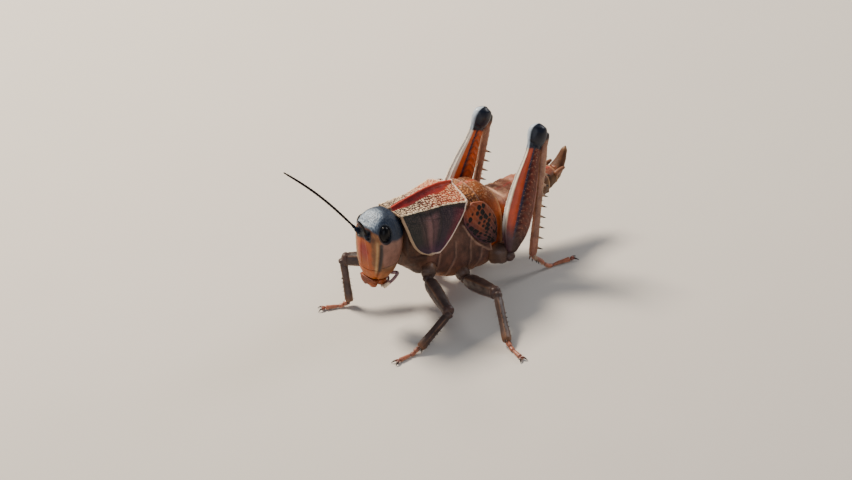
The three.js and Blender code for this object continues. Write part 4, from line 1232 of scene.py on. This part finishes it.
def legJoints(pair, label, swing, lift, shank, foot, ankleHeight, carry, lean):
    # hip, knee and ankle from the stance: the ankle is where the shin reaches its height
    side = 1 if label == "Left" else -1
    femurLength, tibiaLength, tarsusLength, thick, slim, drop = legs["sizes"][pair]
    root, hip = (np.array(point) * (side, 1, 1) for point in legs["hips"][pair])
    hip = onFloor(hip + np.array(carry) * (side, 1, 1))
    rise = math.radians(lift)
    thigh = heading(side, swing) * math.cos(rise) + np.array((0, 0, math.sin(rise)))
    start = hip + thigh * legs["startGap"]
    knee = start + thigh * femurLength
    upward = np.array((-side * lean, 0, 1))
    pivot = knee - drop * unit(upward - thigh * np.dot(thigh, upward))
    reach = math.sqrt(max(tibiaLength ** 2 - (pivot[2] - ankleHeight) ** 2, 0))
    ankle = pivot + heading(side, shank) * reach
    ankle[2] = ankleHeight
    shin = ankle - pivot
    back = unit(thigh - shin * np.dot(thigh, shin) / np.dot(shin, shin))
    return dict(side=side, root=onFloor(root), hip=hip, start=start, knee=knee, pivot=pivot, ankle=ankle,
                back=back, upward=upward, toward=heading(side, foot), tarsus=tarsusLength, thick=thick,
                slim=slim)


def coneGrid(root, tip, radius, bend=(0, 0, 0), rows=9, cols=8, end=0.03):
    # a spine: a cone whose line is bowed by t - t^2 and whose radius falls as 1 - t^1.6
    t = np.linspace(0, 1, rows)[:, None]
    root, tip = np.asarray(root, float), np.asarray(tip, float)
    path = root + t * (tip - root) + (t - t ** 2) * np.asarray(bend, float)
    upright = abs(unit(tip - root)[2]) > 0.8
    size = radius * (1 - t[:, 0] ** 1.6) + end
    return tubeGrid(path, size, (1, 0, 0) if upright else (0, 0, 1), cols), t


legLooks = dict(
    walk=dict(
        name="walkingLeg", face=("#5a453d", "#3e2e2a"), edge="#7c5a42", joint="#48302a", low="#7e5436",
        tip="#1c1415", finish=dict(roughness=0.45, coat=0.05, specular=0.35, grainScale=4500.0)),
    shin=dict(
        name="jumpingShin", face=("#a67a60", "#845a48"), edge="#c8a684", joint="#221a20", low="#a05a44",
        tip="#17100f", finish=dict(roughness=0.45, coat=0.08, specular=0.35, bumpDepth=0.025)),
    foot=dict(
        name="footCuticle", face=("#a5573c", "#84402e"), edge="#c98a68", joint="#5a2c22", low="#c9a184",
        tip="#1a1211", finish=dict(roughness=0.42, coat=0.1, bumpDepth=0.025)),
)


def legMaterial(look):
    # a mottled face under its keels, joints, low side and dark tips
    def paint(tree, place):
        colour = mottled(tree, mottling(tree, place, 900.0), look["face"])
        return layered(tree, colour, (("keel", 1, look["edge"]), ("joint", 1, look["joint"]),
                                      ("low", 1, look["low"]), ("tip", 1, look["tip"])))
    return makeMaterial(look["name"], paint, **look["finish"])


thighShape = dict(
    stations=(
        (0, 0.7, 0.75, 0.8), (0.07, 1.0, 1.35, 1.4), (0.18, 1.3, 2.2, 2.2), (0.32, 1.4, 2.6, 2.45),
        (0.48, 1.3, 2.5, 2.3), (0.62, 1.05, 2.1, 1.9), (0.76, 0.8, 1.5, 1.4), (0.87, 0.8, 1.25, 1.2),
        (0.94, 1.08, 1.62, 1.75), (1, 1.15, 1.75, 1.85), (1.04, 1.02, 1.5, 1.55), (1.072, 0.7, 1.0, 0.95),
    ),
    keels=((90, 0.16, 6), (63, 0.1, 5), (117, 0.1, 5), (-50, 0.13, 6), (-130, 0.13, 6), (-90, 0.14, 7)),
    chevrons=19, rows=260, cols=180,
    heights=dict(keels=1.0, groove=-0.05, chevron=0.07, lobe=0.12, crescent=-0.12, slot=-0.5, serration=0.07,
                 waves=0.02),
    finish=dict(roughness=0.36, coat=0.14, specular=0.3, bumpDepth=0.02, toneSpan=0.22),
    outer=((0.03, "#865a4c"), (0.14, "#74443a"), (0.2, "#5c2819"), (0.45, "#642415"), (0.56, "#461a16"),
           (0.6, "#1e1934"), (0.65, "#241c3a"), (0.69, "#a83c16"), (0.8, "#c84a12"), (0.935, "#b84012"),
           (0.965, "#e6d0ae"), (1, "#f6ead6")),
    inner=((0.03, "#c3a377"), (0.12, "#b98f62"), (0.18, "#b4521f"), (0.5, "#bf4d18"), (0.6, "#7b3018"),
           (0.63, "#332036"), (0.68, "#3a2238"), (0.72, "#c4521b"), (0.86, "#c9581e"), (0.91, "#e9dcc6"),
           (1, "#f2e8d6")),
    dotScale=2600.0, dotSize=0.42, dots="#c98a6a", chevronLayer=("chevron", 0.4, "#3a1713"),
    # the last colour is a painted highlight on the top of the knee
    base=("#3e2822", "#4e3236"), knee=("#0a0e1a", "#131b2e"), kneeHighlight="#c9d6e2",
)


def paintThigh(tree, place):
    # colour bands run along the thigh by how high they lie on its face
    grain = mottling(tree, place, 1000.0)
    height = calc(tree, "ADD", mask(tree, "rise"), calc(tree, "MULTIPLY", grain, 0.05))
    outer, inner = (ramp(tree, height, thighShape[key]) for key in ("outer", "inner"))
    colour = mixed(tree, mask(tree, "outer"), inner, outer)
    dotPlaces = dict(Vector=place, Scale=thighShape["dotScale"], Size=thighShape["dotSize"])
    dots = placeGroup(tree, speckle, dotPlaces)["Mask"]
    dots = calc(tree, "MULTIPLY", calc(tree, "MULTIPLY", mask(tree, "medial"), dots), 0.3)
    colour = mixed(tree, dots, colour, tint(thighShape["dots"]))
    colour = layered(tree, colour, (thighShape["chevronLayer"],))
    colour = mixed(tree, mask(tree, "base"), colour, mottled(tree, height, thighShape["base"], 0.5, 0.75))
    knee = mottled(tree, grain, thighShape["knee"], 0.4, 0.6)
    # painted highlight: pale blue-white over the top of the dark knee
    knee = mixed(tree, spread(tree, height, 0.9, 1.0, 0.0, 0.8), knee, tint(thighShape["kneeHighlight"]))
    return mixed(tree, mask(tree, "knee"), colour, knee)


legFinish = {key: legMaterial(look) for key, look in legLooks.items()}
legFinish["thigh"] = makeMaterial("jumpingThigh", paintThigh, **thighShape["finish"])


def angleFrom(angle, degrees):
    # the turn between each angle and one direction, in degrees from -180 to 180
    return (np.degrees(angle) - degrees + 180) % 360 - 180


def jumpingThigh(joints):
    # a limb with keels, a herringbone of slanting ridges on its outer face and lobes at the knee
    grid, share, angle = limbGrid(joints["start"], joints["knee"], joints["upward"], thighShape["stations"],
                                  thighShape["rows"], thighShape["cols"], power=2.15, blunt=0.035)
    rise, aside = np.sin(angle), np.abs(np.cos(angle))
    outward = np.cos(angle) * joints["side"]
    body = smoothStep(0.04, 0.14, share) * smoothStep(0.93, 0.86, share)
    fromMiddle = np.degrees(np.arcsin(np.clip(rise, -1, 1))) - 2
    medial = smoothStep(-46, -38, fromMiddle) * smoothStep(20, 14, fromMiddle) * body
    turns = share * thighShape["chevrons"] + np.abs(fromMiddle + 10) / 42
    reliefs = dict(
        keels=sum(size * hump(angleFrom(angle, at), width) for at, size, width in thighShape["keels"]) * body,
        groove=hump(fromMiddle - 14, 4) * body,
        chevron=(0.5 + 0.5 * np.cos(turns * 2 * math.pi)) ** 2 * medial,
        lobe=hump((share - 0.985) / 0.05, 1.0) * hump((rise + 0.15) / 0.6, 1.0) * smoothStep(0.3, 0.7, aside),
        crescent=hump(share - 0.9 - 0.02 * rise, 0.012) * smoothStep(0.2, 0.6, aside),
        slot=hump(aside / 0.3, 1.0) * smoothStep(-0.4, -0.8, rise) * smoothStep(0.88, 0.94, share),
        serration=grains(share * 21.4, rise * 0.2, 0.5, 82, 1.1) * hump(angleFrom(angle, 90), 6) * body,
        waves=ripple(grid, 1.0, 81),
    )
    masks = dict(rise=0.5 + 0.5 * rise, outer=smoothStep(-0.15, 0.15, outward),
                 medial=medial * (0.35 + 0.65 * (outward > 0)), chevron=reliefs["chevron"],
                 base=smoothStep(0.29, 0.09, share - 0.04 * rise),
                 knee=smoothStep(0.865, 0.885, share + 0.012 * np.abs(rise)))
    return [patch(raised(grid, raisedBy(thighShape["heights"], reliefs)), masks)]


walkShape = dict(
    thigh=((0, 0.6, 0.6, 0.6), (0.15, 0.95, 0.9, 0.9), (0.5, 0.95, 1, 1), (0.85, 0.8, 0.85, 0.85),
           (0.97, 0.82, 0.9, 0.88), (1.05, 0.45, 0.5, 0.5)),  # for a thickness of 1
    keels=((52, 0.09), (128, 0.09), (-60, 0.08), (-120, 0.08)), keelWidth=9,
    coxa=((0, 1, 1.1, 1.1), (0.6, 1, 1.27, 1), (1, 0.72, 0.97, 0.72)), hipBall=0.62,
)


def thickened(stations, thick):
    # the same stations, with every size times the thickness
    return [(share, *(size * thick for size in sizes)) for share, *sizes in stations]


def walkingThigh(joints):
    # a superellipse limb with four low keels and a groove before the knee
    stations = thickened(walkShape["thigh"], joints["thick"])
    grid, share, angle = limbGrid(joints["start"], joints["knee"], (0, 0, 1), stations,
                                  rows=120, cols=72, power=2.3, blunt=0.06)
    body = smoothStep(0.05, 0.15, share) * smoothStep(0.92, 0.84, share)
    keels = sum(size * hump(angleFrom(angle, at), walkShape["keelWidth"]) for at, size in walkShape["keels"])
    kneeLine = hump(share - 0.9, 0.018) * np.abs(np.cos(angle))
    masks = dict(keel=np.clip(keels * 7, 0, 1) * body, low=0.6 * smoothStep(-0.3, -0.8, np.sin(angle)),
                 joint=smoothStep(0.88, 0.95, share) * 0.7)
    return [patch(raised(grid, keels * body + 0.03 * ripple(grid, 1.4, 83) - 0.09 * kneeLine), masks)]


def hipPatches(joints):
    # the coxa, and the small ring between it and the thigh
    stations = thickened(walkShape["coxa"], joints["thick"])
    coxa, share, angle = limbGrid(joints["root"], joints["hip"], (0, 0, 1), stations,
                                  rows=50, cols=48, blunt=0.2)
    coxa = raised(coxa, 0.05 * ripple(coxa, 1.3, 86) - 0.07 * hump(share - 0.8, 0.05)
                  + 0.06 * hump(angleFrom(angle, 40), 12))
    coxaMasks = dict(low=0.75 * smoothStep(0.7, 0.0, share), joint=0.5 * smoothStep(0.85, 1, share),
                     keel=0.15)
    ring = ballGrid(joints["hip"], [walkShape["hipBall"] * joints["thick"]] * 3, 28, 36)
    return [patch(coxa, coxaMasks), patch(raised(ring, 0.03 * ripple(ring, 0.8, 87)), dict(joint=0.5))]


shinShape = dict(
    stations=(  # times the shin's half width
        (0.03, 1.1, 1.25, 1), (0.12, 1, 1, 1), (0.6, 0.92, 1, 0.95), (0.93, 1.12, 1.15, 1),
        (0.985, 0.9, 0.9, 0.9), (1.0, 0.7, 0.7, 0.7)),
    spurs=((1.3, 1.0), (-1.3, 1.0), (0.75, 1.35), (-0.75, 1.35)),  # turn round the ankle and reach
    jump=dict(top=-0.012, rows=170, knee=1.0, spines=8, first=0.3, step=0.085, reach=1.75, size=0.24,
              spur=1.25, bristles=70),
    walk=dict(top=-0.02, rows=90, knee=0.6, spines=6, first=0.4, step=0.095, reach=1.05, size=0.13,
              spur=0.6, bristles=36),
)


def shinPatches(joints, kind):
    # a shin with a row of spines along each rear edge, larger and black-tipped on the jumping legs
    knee, ankle, back, slim = joints["pivot"], joints["ankle"], joints["back"], joints["slim"]
    stations = thickened(((kind["top"], 0.9, 1, 0.9), *shinShape["stations"]), slim)
    grid, share, angle = limbGrid(knee, ankle, back, stations, kind["rows"], cols=48, power=2.4, blunt=0.02)
    keels = sum(hump(angleFrom(angle, at), 10) for at in (48, 132)) * smoothStep(0.1, 0.2, share)
    height = 0.08 * keels + 0.025 * ripple(grid, 1.0, 84) - 0.06 * hump(share - 0.1, 0.02)
    masks = dict(keel=np.clip(keels, 0, 1) * 0.8, low=smoothStep(0.75, 1.0, share) * 0.6,
                 joint=smoothStep(0.07, 0.03, share) * kind["knee"])
    patches = [patch(raised(grid, height), masks)]
    axis, size = ankle - knee, kind["size"]
    down, across = unit(axis), unit(np.cross(axis, back))
    for k in range(kind["spines"]):
        for row in (1, -1):
            base = knee + axis * (kind["first"] + kind["step"] * k + (0.02 if row > 0 else 0))
            out = unit(back + across * row * 0.75 + down * 0.3)
            spine, t = coneGrid(base + out * 0.3, base + out * kind["reach"], size, down * 0.25)
            patches.append(patch(spine, dict(tip=smoothStep(0.5, 0.62, t), keel=0.7 * (1 - t))))
    base = ankle - down * 0.35
    for turn, reach in shinShape["spurs"]:
        out = unit(back * math.cos(turn) + across * math.sin(turn))
        tip = base + unit(out * 0.75 + down * 0.9) * (reach * kind["spur"] + 0.4)
        spur, t = coneGrid(base + out * 0.35, tip, size * 0.85, out * 0.2)
        patches.append(patch(spur, dict(tip=smoothStep(0.6, 0.72, t), keel=0.6 * (1 - t))))
    dice = np.random.default_rng(round(np.linalg.norm(axis) * 1000))
    for _ in range(kind["bristles"]):  # sparse and short
        base = knee + axis * dice.uniform(0.08, 0.97)
        turn = dice.uniform(0, 2 * math.pi)
        out = back * math.cos(turn) + across * math.sin(turn)
        tip = base + out * (slim + dice.uniform(0.25, 0.5)) + down * 0.25
        bristle, _ = coneGrid(base + out * slim * 0.8, tip, 0.022, rows=3, cols=4, end=0.008)
        patches.append(patch(bristle, dict(keel=0.8)))
    return patches


footShape = dict(
    radius=0.42, rows=110, flatness=0.92, jointLines=(0.405, 0.645), middleRise=0.12,
    sizes=((0.0, 0.3), (0.06, 0.4), (0.34, 0.44), (0.40, 0.3), (0.46, 0.4), (0.6, 0.4), (0.645, 0.27),
           (0.72, 0.33), (0.9, 0.4), (0.97, 0.44), (1.0, 0.3)),
    pads=((0.14, 0.3), (0.25, 0.3), (0.36, 0.34), (0.56, 0.36)),  # share along the foot and half width
    clawTurns=(-0.5, 0.5), clawReach=1.5, clawRadius=0.2,
)


def footPatches(joints):
    # three joints from ankle to toe with soft pads beneath, two claws and the pad between them
    ankle, toward, length, radius = joints["ankle"], joints["toward"], joints["tarsus"], footShape["radius"]
    slope = min(length * 0.5, max(ankle[2], length * 0.4))
    ball = ankle + toward * slope * 0.85
    ball[2] = radius * 0.95
    toe = ball + toward * (length - slope)
    middle = (ankle + ball) / 2 + (0, 0, footShape["middleRise"])
    route = [(0, *ankle), (0.28, *middle), (0.55, *ball), (0.78, *((ball + toe) / 2)), (1, *toe)]
    share = endsDense(footShape["rows"], 1.3)
    path = through(route, share)
    size = valueThrough(footShape["sizes"], share) * roundEnd(np.minimum(share, 1 - share) / 0.03)
    grid = tubeGrid(path, size, (0, 0, 1), 30, footShape["flatness"])
    pinch = np.clip(sum(hump(share - line, 0.02) for line in footShape["jointLines"]), 0, 1)
    grid = grid + 0.02 * ripple(grid, 0.7, 85)[..., None]
    under = smoothStep(0.1, -0.6, (grid[..., 2] - path[:, None, 2]) / radius)
    patches = [patch(grid, dict(joint=0.8 * pinch[:, None], low=under * 0.8, keel=0.25))]
    axes = (unit(np.cross(toward, (0, 0, 1))), toward, (0, 0, 1))
    for at, width in footShape["pads"]:
        spot = through(route, at)
        spot[2] = max(spot[2] - 0.26, 0.2)
        patches.append(patch(ballGrid(spot, (width, 0.4, 0.2), 14, 20, axes), dict(low=1.0)))
    sole = ballGrid(toe + toward * 0.35 + (0, 0, -0.1), (0.26, 0.42, 0.2), 14, 20, axes)
    patches.append(patch(sole, dict(low=0.5, joint=0.5)))
    for turn in footShape["clawTurns"]:
        aim = toward * math.cos(turn) + axes[0] * math.sin(turn)
        tip = toe + aim * footShape["clawReach"]
        tip[2] = 0.1
        claw, t = coneGrid(toe + aim * 0.1, tip, footShape["clawRadius"], (0, 0, 0.9), rows=16, cols=12)
        patches.append(patch(claw, dict(tip=smoothStep(0.35, 0.6, t), joint=0.4)))
    for one in patches:
        one["corners"][:, 2] = np.maximum(one["corners"][:, 2], 0.0)  # soles lie flat on the floor
    return patches


for stance in legs["stances"]:
    pair, label = stance[:2]
    joints = legJoints(*stance)
    tail, lower = pair.capitalize() + label, f"{pair}_{label.lower()}"
    if pair == "hind":
        thigh, shin = jumpingThigh(joints), shinPatches(joints, shinShape["jump"])
        thighLook, shinLook, thighSlot, shinSlot = "thigh", "shin", "jumping_thigh", "jumping_shin"
    else:
        thigh, shin = walkingThigh(joints), shinPatches(joints, shinShape["walk"])
        thighLook, shinLook, thighSlot, shinSlot = "walk", "walk", "walking_leg", "walking_leg"
    for name, patches, look, node, slotName in (
            ("coxa", hipPatches(joints), "walk", "coxa_", "walking_leg"),
            ("thigh", thigh, thighLook, "femur_", thighSlot), ("shin", shin, shinLook, "tibia_", shinSlot),
            ("foot", footPatches(joints), "foot", "tarsus_", "foot")):
        buildPiece(name + tail, patches, legFinish[look], [node + lower])
print("legs made")


# Floor and light

lightSetup = dict(
    key=dict(place=(-0.30, -0.02, 0.36), size=0.12, watts=4.6, colour="#fff1de"),
    fill=dict(place=(0.34, -0.34, 0.22), size=0.4, watts=0.75, colour="#eef3ff"),
    back=dict(place=(0.10, 0.46, 0.26), size=0.2, watts=1.0, colour="#ffffff"),
    aim=(0, 0, 0.012), skyColour="#dfe6f0", skyStrength=0.26, floorColour="#cfc9c1",
)


def placeLights(setup):
    # three area lamps aimed at the body, and an even sky
    for name in ("key", "fill", "back"):
        one = setup[name]
        data = bpy.data.lights.new(name, "AREA")
        data.size, data.energy, data.color = one["size"], one["watts"], tint(one["colour"])[:3]
        lamp = bpy.data.objects.new(name, data)
        lamp.location = one["place"]
        lamp.rotation_euler = (Vector(setup["aim"]) - lamp.location).to_track_quat("-Z", "Y").to_euler()
        bpy.context.scene.collection.objects.link(lamp)
    world = bpy.data.worlds.new("softStudio")
    world.use_nodes = True
    sky = world.node_tree.nodes["Background"].inputs
    sky["Color"].default_value = tint(setup["skyColour"])
    sky["Strength"].default_value = setup["skyStrength"]
    bpy.context.scene.world = world


def paintFloor(tree, place):
    return tint(lightSetup["floorColour"])


def layFloor(reach=6.0):
    # a flat square that reaches this many metres each way
    material = makeMaterial("paleFloor", paintFloor, grainScale=60.0, bumpDepth=0.02, toneSpan=0.02,
                            roughness=0.85, specular=0.2)
    corners = [(-reach, -reach, 0), (reach, -reach, 0), (reach, reach, 0), (-reach, reach, 0)]
    mesh = bpy.data.meshes.new("floor")
    mesh.from_pydata(corners, [], [(0, 1, 2, 3)])
    mesh.materials.append(material)
    floor = bpy.data.objects.new("floor", mesh)
    bpy.context.scene.collection.objects.link(floor)


placeLights(lightSetup)
layFloor()
bpy.context.view_layer.update()
print("pieces made:", pieceCount)
